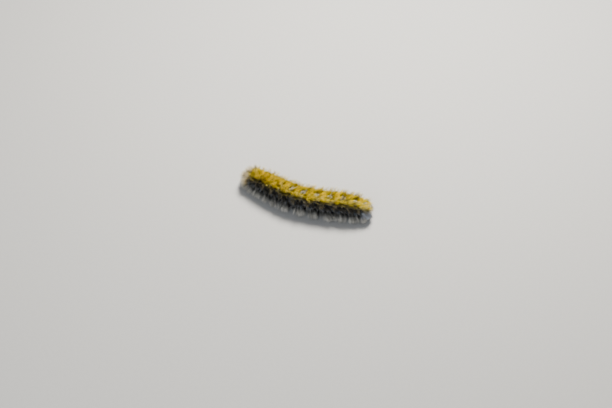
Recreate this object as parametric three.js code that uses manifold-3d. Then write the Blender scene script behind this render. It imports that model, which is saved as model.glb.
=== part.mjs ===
// A hairy moth larva, life size, walking on a flat surface. Millimetres, +Z up.
// The head is at the -X end, the tail at the +X end, and the feet stand at z = 0.
// The body is a row of ring-shaped segments along a curved middle line. Each segment carries its
// hair as flat, tapered locks: overlapping ones over the back, and a drooping fan on each side.
import * as THREE from 'three';
import { mergeVertices } from 'three/addons/utils/BufferGeometryUtils.js';
import Module from 'manifold-3d';

const wasm = await Module();
wasm.setup();

const toRadians = THREE.MathUtils.degToRad;
const toDegrees = THREE.MathUtils.radToDeg;
const smooth = (t) => THREE.MathUtils.smoothstep(t, 0, 1);

// Driving dimensions of the body.
const BODY_RADIUS = 2.8;
const BELLY_FLATNESS = 0.9;
const BELLY_CLEARANCE = 1.2;
const SEGMENTS = [
  { name: 'thorax_1', length: 2.2 },
  { name: 'thorax_2', length: 2.4 },
  { name: 'thorax_3', length: 2.8 },
  { name: 'abdomen_1', length: 3.3 },
  { name: 'abdomen_2', length: 3.8 },
  { name: 'abdomen_3', length: 4.2 },
  { name: 'abdomen_4', length: 4.5 },
  { name: 'abdomen_5', length: 4.5 },
  { name: 'abdomen_6', length: 4.4 },
  { name: 'abdomen_7', length: 4.3 },
  { name: 'abdomen_8', length: 3.5 },
  { name: 'abdomen_9', length: 1.8 },
  { name: 'abdomen_10', length: 1.6 },
];
const GAP = 0.3;
const CREASE_DEPTH = 0.1;
const FRONT_TAPER_LENGTH = 14;
const FRONT_TAPER = 0.29;
const REAR_TAPER_START = 32;
const REAR_TAPER = 0.42;
const REAR_POWER = 2.2;
const TAIL_ROUNDING = 1.6;
const TAIL_END_SHARE = 0.14;

// The middle line turns from the front heading to the rear heading over the bend.
const FRONT_HEADING = toRadians(-37);
const REAR_HEADING = toRadians(-9.5);
const BEND_START = 8;
const BEND_END = 31;
const HEAD_REACH = 3;
const LINE_STEP = 0.05;

// Driving dimensions of the head.
const HEAD_HALF_WIDTH = 1.7;
const HEAD_HALF_HEIGHT = 1.65;
const HEAD_HALF_DEPTH = 1.25;
const HEAD_CENTRE = { s: -1.15, z: 2.75 };
const HEAD_TILT = toRadians(14);
const HEAD_NARROWING = 0.18;
const GROOVE_DEPTH = 0.09;
const GROOVE_WIDTH = 0.22;
const GROOVE_FADES_AT = -0.3;
const GROOVE_FAINT = 0.4;
const MOUTH = { depth: 0.55, height: -1.35, halfDepth: 0.75, halfWidth: 0.75, halfHeight: 0.5 };
const FEELER_TOE_IN = 0.5;
const FEELER_JOINTS = [
  { depth: 0.6, width: 0.9, height: -0.95, radius: 0.3 },
  { depth: 1.45, width: 1.3, height: -1.15, radius: 0.27 },
  { depth: 1.95, width: 1.5, height: -1.2, radius: 0.2 },
  { depth: 2.3, width: 1.6, height: -1.2, radius: 0.08 },
];

// A walking leg: its joints below the root, as distance out, height, distance ahead and thickness.
const LEG_RADIUS = 0.42;
const LEG_ROOT_OUT = 0.75;
const LEG_ROOT_DEPTH = 0.5;
const LEG_JOINTS = [
  { out: 1.0, height: 1.55, ahead: 0.05, share: 1 },
  { out: 1.25, height: 1.1, ahead: 0.1, share: 0.92 },
  { out: 1.3, height: 0.85, ahead: 0.15, share: 0.98 },
  { out: 1.25, height: 0.45, ahead: 0.28, share: 0.75 },
  { out: 1.1, height: -0.2, ahead: 0.42, share: 0.62 },
];

// A proleg: its rings below the root, as height and share of its radius.
const PROLEG_RADIUS = 0.92;
const PROLEG_OFFSET = 1.3;
const PROLEG_ROOT_DEPTH = 0.35;
const PROLEG_RINGS = [
  { height: 1.15, share: 0.96 },
  { height: 0.75, share: 0.82 },
  { height: 0.38, share: 0.78 },
  { height: 0.22, share: 0.92 },
  { height: 0, share: 0.88 },
];
const ANAL_PROLEG = { offset: 1.0, share: 0.45, radius: PROLEG_RADIUS * 0.9 };

// The dense hair next to the skin, as a core that the locks grow through. It ends at the flank.
const CORE_DEPTH = 0.5;
const CORE_FULL_TO = 95;
const CORE_ENDS_AT = 122;

// The locks. Lengths run from the skin to the tip, and angles round the body from the top.
// A lock points straight out from the skin, or at the angle that it falls to if it has one.
const LOCK_SINK = 0.15;
const LOCK_TAPER = 2.3;
const ROW_PITCH = 1.45;
const ROW_SHIFT = 0.4;
const EVEN_ROW = [14, 42, 71];
const ODD_ROW = [0, 28, 57];
const FLANK_FROM = 60;
const RIDGE_LIFT = 0.5;
const BACK_LOCK = {
  length: 3.3, width: 1.75, thickness: 0.65, steps: 2,
  droop: 0.06, sweep: 0.2, turn: 30,
};
const FLANK_LOCK = {
  length: 2.4, width: 1.55, thickness: 0.6, steps: 2,
  droop: 0.16, sweep: 0.14, turn: 30,
};
const SIDE_LOCK = {
  length: 3.4, width: 1.15, thickness: 0.6, steps: 3,
  droop: 0.12, sweep: 0.04, turn: 90, falls: 130,
};
const LOW_LOCK = {
  length: 1.9, width: 1.1, thickness: 0.6, steps: 2,
  droop: 0.12, sweep: 0.05, turn: 90,
};
const FRONT_LOCK = {
  length: 3.5, width: 1.25, thickness: 0.6, steps: 3,
  droop: 0.08, sweep: -0.12, turn: 25,
};
const TAIL_LOCK = {
  length: 2.5, width: 1.25, thickness: 0.6, steps: 3,
  droop: 0.3, sweep: 0.14, turn: 25,
};
const HAIR_SEED = 131;
const LENGTH_SPREAD = 0.13;
const SHORTEST_SHARE = 0.75;
const ANGLE_SPREAD = 3;
const LEAN_SPREAD = 6;
const TURN_SPREAD = 18;

// The side fan of a segment: how far each lock turns from the middle one, in degrees.
const WIDE_FAN = [-24, -12, 0, 12, 24];
const NARROW_FAN = [-14, 0, 14];
const FAN_ANGLES = [92, 103];
const FAN_ROOT_SPREAD = 0.011;
const LOW_ANGLE = 124;
const LOW_SHARE = 0.5;
const LONG_SEGMENT = 2.8;

// The collar round the head, and the hair round the tail.
const COLLAR_ANGLES = [-104, -82, -60, -38, -13, 13, 38, 60, 82, 104];
const NECK_ANGLES = [-94, -71, -48, -25, 0, 25, 48, 71, 94];
const COLLAR_LEAN = -52;
const NECK_LEAN = -24;
const COLLAR_SHARE = 0.3;
const NECK_SHARE = 0.68;
const RUMP_ANGLES = [-98, -70, -42, -14, 14, 42, 70, 98];
const TAIL_ANGLES = [-105, -63, -21, 21, 63, 105];
const RUMP_LEAN = 40;
const TAIL_LEAN = 54;
const RUMP_SHARE = 0.32;
const TAIL_SHARE = 0.7;
const RUMP_SCALE = 0.95;

// The lie of the hair: how far it leans along the body, in degrees, towards the tail if positive.
const BACK_LEAN = 26;
const SIDE_LEAN = 8;
const LEAN_BLEND = [50, 95];
const FRONT_LEAN = -50;
const FRONT_LEAN_LENGTH = 9;
const REAR_LEAN = 34;
const REAR_LEAN_START = 34;

const AROUND = 16;
const HEAD_DIVISIONS = [16, 10];
const MOUTH_DIVISIONS = [10, 7];
const FEELER_SIDES = 6;
const LEG_SIDES = 7;
const PROLEG_SIDES = 8;
const RING_STATIONS = [0, 0.2, 0.8, 1];
const TAIL_STATIONS = [0, 0.3, 0.6, 0.8, 0.94, 1];
const CUT_REACH = 6.5;
const FAR = 12;
const ROOM_WIDTH = 200;
const ROOM_HEIGHT = 40;

const COLOURS = {
  coat: new THREE.MeshStandardMaterial({ color: 0xd9ac1e, roughness: 0.85, metalness: 0 }),
  head: new THREE.MeshStandardMaterial({ color: 0x23222a, roughness: 0.35, metalness: 0 }),
  leg: new THREE.MeshStandardMaterial({ color: 0x1b1714, roughness: 0.4, metalness: 0 }),
  proleg: new THREE.MeshStandardMaterial({ color: 0x3d3a3b, roughness: 0.7, metalness: 0 }),
};

// Where each segment starts and ends along the middle line.
let bodyLength = 0;
for (const segment of SEGMENTS) {
  segment.start = bodyLength;
  bodyLength += segment.length;
  segment.end = bodyLength;
}
const TAIL = SEGMENTS[SEGMENTS.length - 1];

// Seeded random numbers, so that every build gives the same hair.
function seeded(seed) {
  let state = seed;
  return () => {
    state = (state + 0x6d2b79f5) | 0;
    let mixed = Math.imul(state ^ (state >>> 15), 1 | state);
    mixed = (mixed + Math.imul(mixed ^ (mixed >>> 7), 61 | mixed)) ^ mixed;
    return ((mixed ^ (mixed >>> 14)) >>> 0) / 4294967296;
  };
}
let random = seeded(HAIR_SEED);
const vary = (amount) => (random() * 2 - 1) * amount;

// The heading of the middle line at s, a distance behind the front of the thorax.
function heading(s) {
  const bent = smooth((s - BEND_START) / (BEND_END - BEND_START));
  return FRONT_HEADING + (REAR_HEADING - FRONT_HEADING) * bent;
}

// The middle line in plan, found by walking along the heading in small steps.
const line = [new THREE.Vector2(0, 0)];
for (let s = -HEAD_REACH; s < bodyLength + HEAD_REACH; s += LINE_STEP) {
  const turn = heading(s + LINE_STEP / 2);
  const last = line[line.length - 1];
  const step = new THREE.Vector2(Math.cos(turn), Math.sin(turn)).multiplyScalar(LINE_STEP);
  line.push(last.clone().add(step));
}

// Radius of the body's skin at s, without the creases.
function radiusAt(s) {
  const front = Math.max(0, 1 - Math.max(s, 0) / FRONT_TAPER_LENGTH);
  const rear = THREE.MathUtils.clamp((s - REAR_TAPER_START) / (bodyLength - REAR_TAPER_START), 0, 1);
  return BODY_RADIUS * (1 - FRONT_TAPER * front ** 2) * (1 - REAR_TAPER * rear ** REAR_POWER);
}

// Radius of the skin with the creases between the segments and the rounded tail.
function ringRadius(segment, share) {
  const s = segment.start + share * segment.length;
  const past = Math.max(0, (s - (bodyLength - TAIL_ROUNDING)) / TAIL_ROUNDING);
  const isRounded = segment === TAIL && share > 0.5;
  const crease = isRounded ? 1 : 1 - CREASE_DEPTH * Math.abs(2 * share - 1) ** 4;
  return radiusAt(s) * crease * Math.max(TAIL_END_SHARE, Math.sqrt(Math.max(0, 1 - past ** 2)));
}

// The middle line's point and directions at s: back points to the tail, side to +Y, up to +Z.
function stationAt(s) {
  const at = (s + HEAD_REACH) / LINE_STEP;
  const i = THREE.MathUtils.clamp(Math.floor(at), 0, line.length - 2);
  const plan = line[i].clone().lerp(line[i + 1], at - i);
  const turn = heading(s);
  return {
    centre: new THREE.Vector3(plan.x, plan.y, BELLY_CLEARANCE + BELLY_FLATNESS * radiusAt(s)),
    back: new THREE.Vector3(Math.cos(turn), Math.sin(turn), 0),
    side: new THREE.Vector3(-Math.sin(turn), Math.cos(turn), 0),
    up: new THREE.Vector3(0, 0, 1),
  };
}

// The outward direction at an angle from the top.
function normalAt(station, angle) {
  return station.side.clone().multiplyScalar(Math.sin(angle)).addScaledVector(station.up, Math.cos(angle));
}

// A point of the body at an angle and radius, with the belly flattened.
function pointAt(station, angle, radius) {
  const high = Math.cos(angle) * (Math.cos(angle) < 0 ? BELLY_FLATNESS : 1);
  return station.centre
    .clone()
    .addScaledVector(station.side, radius * Math.sin(angle))
    .addScaledVector(station.up, radius * high);
}

// Depth of the core over the skin at an angle.
function coreDepth(angle) {
  const turned = toDegrees(Math.abs(angle));
  return CORE_DEPTH * (1 - smooth((turned - CORE_FULL_TO) / (CORE_ENDS_AT - CORE_FULL_TO)));
}

// How far the hair leans along the body at s and an angle, in degrees.
function leanAt(s, angle) {
  const front = THREE.MathUtils.clamp(1 - s / FRONT_LEAN_LENGTH, 0, 1);
  const rear = THREE.MathUtils.clamp((s - REAR_LEAN_START) / (bodyLength - REAR_LEAN_START), 0, 1);
  const flank = smooth((toDegrees(Math.abs(angle)) - LEAN_BLEND[0]) / (LEAN_BLEND[1] - LEAN_BLEND[0]));
  const rest = BACK_LEAN + (SIDE_LEAN - BACK_LEAN) * flank;
  return rest * (1 - front) + FRONT_LEAN * front ** 1.5 + REAR_LEAN * rear ** 1.5;
}

// A closed geometry as a solid that can be joined and cut, with its faces pointing out.
function solidOf(geometry) {
  geometry.deleteAttribute('normal');
  geometry.deleteAttribute('uv');
  const merged = mergeVertices(geometry, 1e-4);
  const vertProperties = new Float32Array(merged.attributes.position.array);
  const triVerts = new Uint32Array(merged.index.array);
  const solid = new wasm.Manifold(new wasm.Mesh({ numProp: 3, vertProperties, triVerts }));
  if (solid.volume() > 0) return solid;
  triVerts.reverse();
  return new wasm.Manifold(new wasm.Mesh({ numProp: 3, vertProperties, triVerts }));
}

// Moves every vertex of a geometry to where place(vertex) says.
function shaped(geometry, place) {
  const position = geometry.attributes.position;
  const vertex = new THREE.Vector3();
  for (let i = 0; i < position.count; i++) {
    const moved = place(vertex.fromBufferAttribute(position, i));
    position.setXYZ(i, moved.x, moved.y, moved.z);
  }
  return geometry;
}

// A closed tube through rings. A ring is a function of the share of its radius and the angle.
function tube(rings, sides) {
  const geometry = new THREE.CylinderGeometry(1, 1, 1, sides, rings.length - 1);
  return solidOf(
    shaped(geometry, (v) => {
      const ring = rings[Math.round((0.5 - v.y) * (rings.length - 1))];
      return ring(Math.min(1, Math.hypot(v.x, v.z)), Math.atan2(v.x, v.z));
    }),
  );
}

// A round ring about a centre, across two directions.
function roundRing(centre, right, front, radius) {
  return (share, angle) =>
    centre
      .clone()
      .addScaledVector(right, share * radius * Math.sin(angle))
      .addScaledVector(front, share * radius * Math.cos(angle));
}

// A ring of the body at s, with a depth over the skin that may change with the angle.
function bodyRing(s, radius, depth) {
  const station = stationAt(s);
  return (share, angle) => pointAt(station, angle, share * (radius + depth(angle)));
}

// The two rings of a cut across the body. Past the core it leans as the hair does, unless it is square.
function cutRings(s, isSquare = false) {
  return [CORE_DEPTH, CUT_REACH].map((depth) => (share, angle) => {
    const lean = isSquare ? 0 : Math.tan(toRadians(leanAt(s, angle)));
    return pointAt(stationAt(s + (depth - CORE_DEPTH) * lean), angle, share * (radiusAt(s) + depth));
  });
}

// Everything between two cuts across the body.
function between(frontRings, rearRings) {
  return tube([...frontRings, ...rearRings.reverse()], AROUND);
}

// Everything above the floor.
function aboveFloor() {
  const room = new THREE.BoxGeometry(ROOM_WIDTH, ROOM_WIDTH, ROOM_HEIGHT);
  return solidOf(room.translate(0, 0, ROOM_HEIGHT / 2));
}

// The whole skin grown by a margin, which legs are cut clear of.
function grownBody(margin) {
  const rings = [];
  for (const segment of SEGMENTS) {
    const stations = segment === TAIL ? TAIL_STATIONS : RING_STATIONS;
    for (const share of stations.slice(0, -1)) {
      const s = segment.start + share * segment.length;
      rings.push(bodyRing(s, ringRadius(segment, share), () => margin));
    }
  }
  rings.push(bodyRing(bodyLength + margin, ringRadius(TAIL, 1), () => margin));
  return tube(rings, AROUND);
}

// One flat, tapered lock: a three-sided cone with its ridge outwards, widened, thinned and bent.
function lock({ root, direction, across, ridge, bend, length, width, thickness, steps }) {
  const through = across.clone().cross(direction).normalize();
  if (through.dot(ridge) < 0) through.negate();
  const flat = through.clone().cross(direction).normalize();
  const whole = length + LOCK_SINK;
  return solidOf(
    shaped(new THREE.ConeGeometry(1, 1, 3, steps), (v) => {
      const t = v.y + 0.5;
      const fullness = t < 0.999 ? (1 - t ** LOCK_TAPER) / (1 - t) : 0;
      return root
        .clone()
        .addScaledVector(direction, whole * t - LOCK_SINK)
        .addScaledVector(bend, length * t * t)
        .addScaledVector(flat, (v.x * fullness * width) / Math.sqrt(3))
        .addScaledVector(through, (v.z * fullness * thickness) / 1.5);
    }),
  );
}

// A lock of a kind that grows at a share of a segment, at an angle from the top.
function lockAt(segment, share, angleDegrees, kind, change = {}) {
  const s = segment.start + share * segment.length;
  const station = stationAt(s);
  const angle = toRadians(angleDegrees + vary(ANGLE_SPREAD));
  const normal = normalAt(station, angle);
  const lean = toRadians((change.lean ?? leanAt(s, angle)) + vary(LEAN_SPREAD));
  const outward = kind.falls ? normalAt(station, Math.sign(angle) * toRadians(kind.falls)) : normal;
  const direction = outward
    .clone()
    .multiplyScalar(Math.cos(lean))
    .addScaledVector(station.back, Math.sin(lean));
  const turn = toRadians(kind.turn + vary(TURN_SPREAD)) * (random() < 0.5 ? -1 : 1);
  const round = station.back.clone().cross(normal);
  const across = round.multiplyScalar(Math.cos(turn)).addScaledVector(station.back, Math.sin(turn));
  const ridge = normal.clone().addScaledVector(station.up, RIDGE_LIFT);
  const bend = station.back
    .clone()
    .multiplyScalar(kind.sweep)
    .addScaledVector(station.up, -kind.droop);
  const length = kind.length * (change.scale ?? 1) * (1 + vary(LENGTH_SPREAD));
  const root = pointAt(station, angle, ringRadius(segment, share));
  return lock({ ...kind, root, direction, across, ridge, bend, length });
}

// The overlapping hair over the back and flanks: staggered rows across the segment.
function backLocks(segment, index) {
  const rows = Math.max(1, Math.round(segment.length / ROW_PITCH));
  const fullness = radiusAt((segment.start + segment.end) / 2) / BODY_RADIUS;
  const scale = SHORTEST_SHARE + (1 - SHORTEST_SHARE) * fullness;
  const locks = [];
  for (let row = 0; row < rows; row++) {
    for (const angle of (row + index) % 2 ? ODD_ROW : EVEN_ROW) {
      const kind = angle > FLANK_FROM ? FLANK_LOCK : BACK_LOCK;
      for (const sign of angle === 0 ? [1] : [-1, 1]) {
        locks.push(lockAt(segment, (row + ROW_SHIFT) / rows, sign * angle, kind, { scale }));
      }
    }
  }
  return locks;
}

// The long, drooping fan of hair on each side, and a short lock below it.
function sideLocks(segment) {
  const isLong = segment.length > LONG_SEGMENT;
  const middle = (segment.start + segment.end) / 2;
  const scale = radiusAt(middle) / BODY_RADIUS;
  const locks = [];
  for (const sign of [-1, 1]) {
    (isLong ? WIDE_FAN : NARROW_FAN).forEach((spread, i) => {
      const angle = sign * FAN_ANGLES[i % 2];
      const lean = leanAt(middle, toRadians(angle)) + spread;
      locks.push(lockAt(segment, 0.5 + spread * FAN_ROOT_SPREAD, angle, SIDE_LOCK, { lean, scale }));
    });
    locks.push(lockAt(segment, LOW_SHARE, sign * LOW_ANGLE, LOW_LOCK, { scale }));
  }
  return locks;
}

// The hair of the first segment, thrown forward round the head in a loose collar.
function collarLocks(segment) {
  const collar = { lean: COLLAR_LEAN };
  const neck = { lean: NECK_LEAN };
  return [
    ...COLLAR_ANGLES.map((angle) => lockAt(segment, COLLAR_SHARE, angle, FRONT_LOCK, collar)),
    ...NECK_ANGLES.map((angle) => lockAt(segment, NECK_SHARE, angle, FLANK_LOCK, neck)),
  ];
}

// The hair of the last segment, spread backwards round the tail.
function tailLocks(segment) {
  const rump = { lean: RUMP_LEAN, scale: RUMP_SCALE };
  const end = { lean: TAIL_LEAN };
  return [
    ...RUMP_ANGLES.map((angle) => lockAt(segment, RUMP_SHARE, angle, TAIL_LOCK, rump)),
    ...TAIL_ANGLES.map((angle) => lockAt(segment, TAIL_SHARE, angle, TAIL_LOCK, end)),
  ];
}

// Several solids as one.
function joined(solids) {
  return solids.reduce((all, one) => all.add(one));
}

// The largest closed surface of a solid, without loose scraps or sealed hollows.
function largest(solid) {
  return solid.decompose().reduce((a, b) => (b.volume() > a.volume() ? b : a));
}

// One ring of the body with its hair, cut clear of its neighbours.
function bodySegment(segment, index, neighbours) {
  const isFirst = index === 0;
  const isLast = segment === TAIL;
  const front = segment.start + GAP / 2;
  const rear = isLast ? segment.end : segment.end - GAP / 2;
  const rings = (isLast ? TAIL_STATIONS : RING_STATIONS).map((share) => {
    const depth = isLast ? (angle) => coreDepth(angle) * (1 - share) : coreDepth;
    return bodyRing(front + share * (rear - front), ringRadius(segment, share), depth);
  });
  random = seeded(HAIR_SEED + index);
  let locks = [...backLocks(segment, index), ...sideLocks(segment)];
  if (isFirst) locks = collarLocks(segment);
  if (isLast) locks = tailLocks(segment);
  const hair = joined(locks).subtract(neighbours);
  const room = between(
    isFirst ? cutRings(-FAR, true) : cutRings(front),
    isLast ? cutRings(bodyLength + FAR, true) : cutRings(rear),
  );
  return largest(tube(rings, AROUND).add(hair).intersect(room).intersect(aboveFloor()));
}

// The head's centre and its directions: forward leans down by the tilt.
function headFrame() {
  const station = stationAt(HEAD_CENTRE.s);
  const forward = station.back
    .clone()
    .multiplyScalar(-Math.cos(HEAD_TILT))
    .addScaledVector(station.up, -Math.sin(HEAD_TILT));
  const upward = station.side.clone().cross(forward);
  const centre = station.centre.clone().setZ(HEAD_CENTRE.z);
  const placed = (depth, width, height) =>
    centre
      .clone()
      .addScaledVector(forward, depth)
      .addScaledVector(station.side, width)
      .addScaledVector(upward, height);
  return { placed, forward, sideways: station.side, upward };
}

// The head capsule: two rounded lobes with a groove between them, and the mouth below.
function headSolid(margin = 0) {
  const { placed } = headFrame();
  const capsule = solidOf(
    shaped(new THREE.SphereGeometry(1, ...HEAD_DIVISIONS), (v) => {
      const depth = GROOVE_DEPTH * (v.y > GROOVE_FADES_AT ? 1 : GROOVE_FAINT);
      const groove = 1 - depth * Math.exp(-((v.z / GROOVE_WIDTH) ** 2));
      const narrow = v.y < 0 ? 1 - HEAD_NARROWING * v.y ** 2 : 1;
      return placed(
        v.x * (HEAD_HALF_DEPTH * groove + margin),
        v.z * (HEAD_HALF_WIDTH * narrow + margin),
        v.y * (HEAD_HALF_HEIGHT * groove + margin),
      );
    }),
  );
  const mouth = solidOf(
    shaped(new THREE.SphereGeometry(1, ...MOUTH_DIVISIONS), (v) =>
      placed(
        MOUTH.depth + v.x * (MOUTH.halfDepth + margin),
        v.z * (MOUTH.halfWidth + margin),
        MOUTH.height + v.y * (MOUTH.halfHeight + margin),
      ),
    ),
  );
  return capsule.add(mouth);
}

// The head, cut off square in front of the first segment.
function headNode() {
  return largest(headSolid().intersect(between(cutRings(-FAR, true), cutRings(-GAP / 2, true))));
}

// A short three-jointed feeler beside the mouth, grown by a margin.
function feeler(sign, margin = 0) {
  const { placed, forward, sideways, upward } = headFrame();
  const front = sideways.clone().addScaledVector(forward, -FEELER_TOE_IN * sign).normalize();
  const rings = FEELER_JOINTS.map(({ depth, width, height, radius }) =>
    roundRing(placed(depth, sign * width, height), upward, front, radius + margin),
  );
  return tube(rings, FEELER_SIDES);
}

// A jointed, tapered walking leg that curves in to its claw, grown by a margin.
function trueLeg(segment, sign, margin = 0) {
  const s = (segment.start + segment.end) / 2;
  const station = stationAt(s);
  const rootHeight = station.centre.z - LEG_ROOT_DEPTH * radiusAt(s);
  const root = { out: LEG_ROOT_OUT, height: rootHeight, ahead: 0, share: 1 };
  const rings = [root, ...LEG_JOINTS].map(({ out, height, ahead, share }) => {
    const centre = station.centre
      .clone()
      .setZ(height)
      .addScaledVector(station.side, sign * out)
      .addScaledVector(station.back, -ahead);
    return roundRing(centre, station.side, station.back, LEG_RADIUS * share + margin);
  });
  return tube(rings, LEG_SIDES);
}

// Where a segment's prolegs stand: the last pair is closer together and a little smaller.
function prolegOf(segment) {
  const isAnal = segment === TAIL;
  return {
    s: segment.start + (isAnal ? ANAL_PROLEG.share : 0.5) * segment.length,
    offset: isAnal ? ANAL_PROLEG.offset : PROLEG_OFFSET,
    radius: isAnal ? ANAL_PROLEG.radius : PROLEG_RADIUS,
  };
}

// A fleshy proleg that ends in a wider, flat foot, grown by a margin.
function proleg({ s, offset, radius }, sign, margin = 0) {
  const station = stationAt(s);
  const axis = station.centre.clone().addScaledVector(station.side, sign * offset);
  const root = { height: station.centre.z - PROLEG_ROOT_DEPTH * radiusAt(s), share: 1 };
  const rings = [root, ...PROLEG_RINGS].map(({ height, share }) =>
    roundRing(axis.clone().setZ(height), station.side, station.back, radius * share + margin),
  );
  return tube(rings, PROLEG_SIDES);
}

// A named mesh in the part, with flat faces.
const larva = new THREE.Group();
function addNode(name, solid, material) {
  const mesh = solid.getMesh();
  const geometry = new THREE.BufferGeometry();
  const corners = [];
  for (let i = 0; i < mesh.numVert; i++) {
    corners.push(...mesh.vertProperties.slice(i * mesh.numProp, i * mesh.numProp + 3));
  }
  geometry.setAttribute('position', new THREE.Float32BufferAttribute(corners, 3));
  geometry.setIndex(Array.from(mesh.triVerts));
  geometry.computeVertexNormals();
  const node = new THREE.Mesh(geometry, material);
  node.name = name;
  larva.add(node);
}

// Every limb: its name, what it is cut clear of, and how its solid is made with a margin.
const SIDES = [
  { side: 'left', sign: -1 },
  { side: 'right', sign: 1 },
];
const LEGGED = SEGMENTS.filter(({ name }) => name.startsWith('thorax'));
const PROLEGGED = SEGMENTS.filter(({ name }) => /^abdomen_[3-6]$/.test(name));
const headGrown = headSolid(GAP);
const bodyGrown = grownBody(GAP);
const limbs = SIDES.flatMap(({ side, sign }) => [
  {
    name: `antenna_${side}`,
    material: COLOURS.head,
    clearOf: headGrown,
    make: (margin) => feeler(sign, margin),
  },
  ...LEGGED.map((segment) => ({
    name: `leg_${segment.name}_${side}`,
    material: COLOURS.leg,
    clearOf: bodyGrown,
    make: (margin) => trueLeg(segment, sign, margin),
  })),
  ...[...PROLEGGED, TAIL].map((segment) => ({
    name: `proleg_${segment.name}_${side}`,
    material: COLOURS.proleg,
    clearOf: bodyGrown,
    make: (margin) => proleg(prolegOf(segment), sign, margin),
  })),
]);

const neighbours = joined([headGrown, ...limbs.map(({ make }) => make(GAP))]);
addNode('head', headNode(), COLOURS.head);
SEGMENTS.forEach((segment, index) => {
  addNode(segment.name, bodySegment(segment, index, neighbours), COLOURS.coat);
});
for (const { name, material, clearOf, make } of limbs) {
  addNode(name, largest(make(0).subtract(clearOf).intersect(aboveFloor())), material);
}

// The part's origin is on the floor, under the middle of its outline.
const outline = new THREE.Box3().setFromObject(larva);
const middle = outline.getCenter(new THREE.Vector3());
larva.position.set(-middle.x, -middle.y, 0);

export default larva;
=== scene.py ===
# %% [markdown]
# # A hairy moth larva
# The larva is long, soft and ringed, and almost all that shows of it is hair. So the lesson
# builds it from the inside out: the line that the body follows, one skin over it, the hard head
# and legs, and then tens of thousands of single hairs, each a thin solid of its own. Shapes are
# worked out in millimetres, because that is how an insect is measured, and are turned into
# Blender's metres in one place only.

# %% Frame
import math

import bpy
import numpy as np
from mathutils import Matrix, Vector


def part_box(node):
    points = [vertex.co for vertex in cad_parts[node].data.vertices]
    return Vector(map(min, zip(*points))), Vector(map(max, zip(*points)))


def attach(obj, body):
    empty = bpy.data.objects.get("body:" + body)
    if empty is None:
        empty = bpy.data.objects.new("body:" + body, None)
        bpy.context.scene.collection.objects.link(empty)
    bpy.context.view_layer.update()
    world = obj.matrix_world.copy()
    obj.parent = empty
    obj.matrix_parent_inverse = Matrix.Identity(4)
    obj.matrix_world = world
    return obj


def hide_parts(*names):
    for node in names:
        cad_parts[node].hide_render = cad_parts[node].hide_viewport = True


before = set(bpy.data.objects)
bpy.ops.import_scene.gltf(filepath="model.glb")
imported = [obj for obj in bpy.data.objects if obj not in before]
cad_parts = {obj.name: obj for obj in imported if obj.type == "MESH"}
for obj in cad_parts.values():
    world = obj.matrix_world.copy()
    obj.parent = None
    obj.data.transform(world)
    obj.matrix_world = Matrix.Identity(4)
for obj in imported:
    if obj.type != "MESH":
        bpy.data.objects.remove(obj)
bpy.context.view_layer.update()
MM = 0.001
ROOT_BODY = "root"

# %% [markdown]
# ## The line of the body
# A larva is a row of rings on a bent middle line. The line could be a Bezier curve placed by eye,
# but then nothing else could ask it where a ring is. Here it is a function of the distance s
# behind the neck: a heading that turns smoothly from one angle to another, summed into a path.

# %% Sizes of the body
SEGMENTS = {
    "thorax_1": 2.2, "thorax_2": 2.4, "thorax_3": 2.8, "abdomen_1": 3.3, "abdomen_2": 3.8,
    "abdomen_3": 4.2, "abdomen_4": 4.5, "abdomen_5": 4.5, "abdomen_6": 4.4, "abdomen_7": 4.3,
    "abdomen_8": 3.5, "abdomen_9": 1.8, "abdomen_10": 1.6,
}
NAMES = list(SEGMENTS)
LENGTHS = np.array(list(SEGMENTS.values()))
EDGES = np.concatenate([[0.0], np.cumsum(LENGTHS)])
BODY_LENGTH = float(EDGES[-1])
MIDDLES = (EDGES[:-1] + EDGES[1:]) / 2

BODY_RADIUS = 2.8
BELLY_FLATNESS = 0.9
BELLY_CLEARANCE = 1.2
FRONT_TAPER_LENGTH, FRONT_TAPER = 14.0, 0.29
REAR_TAPER_START, REAR_TAPER, REAR_POWER = 32.0, 0.42, 2.2
CREASE_DEPTH = 0.1
TAIL_ROUNDING = 1.6
FRONT_HEADING, REAR_HEADING = math.radians(-37.0), math.radians(-9.5)
BEND_START, BEND_END = 8.0, 31.0
HEAD_REACH = 3.0
LINE_STEP = 0.05


def smooth(t):
    """0 up to t = 0, 1 from t = 1, and 3t^2 - 2t^3 between them."""
    t = np.clip(t, 0.0, 1.0)
    return t * t * (3 - 2 * t)


def bump(x, width):
    """A bell that is 1 at x = 0 and falls as e to the minus (x / width) squared."""
    return np.exp(-((x / width) ** 2))


def heading(s):
    """The angle of the middle line at s: a smooth step from the front heading to the rear one."""
    bent = smooth((s - BEND_START) / (BEND_END - BEND_START))
    return FRONT_HEADING + (REAR_HEADING - FRONT_HEADING) * bent


def radius_at(s):
    """The skin's radius without creases: the widest radius, less a square taper to the neck and a
    steeper power taper to the tail."""
    front = np.clip(1 - np.maximum(s, 0) / FRONT_TAPER_LENGTH, 0, None)
    rear = np.clip((s - REAR_TAPER_START) / (BODY_LENGTH - REAR_TAPER_START), 0, 1)
    return BODY_RADIUS * (1 - FRONT_TAPER * front**2) * (1 - REAR_TAPER * rear**REAR_POWER)


def segment_of(s):
    """The index of the ring that s is in, and the share of the way along that ring."""
    index = np.clip(np.searchsorted(EDGES, s, side="right") - 1, 0, len(LENGTHS) - 1)
    return index, np.clip((s - EDGES[index]) / LENGTHS[index], 0, 1)


def rounding(s):
    """1 along the body, falling round a quarter circle over the last stretch of the tail."""
    past = np.clip((s - (BODY_LENGTH - TAIL_ROUNDING)) / TAIL_ROUNDING, 0, 1)
    return np.sqrt(1 - past**2)


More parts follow.
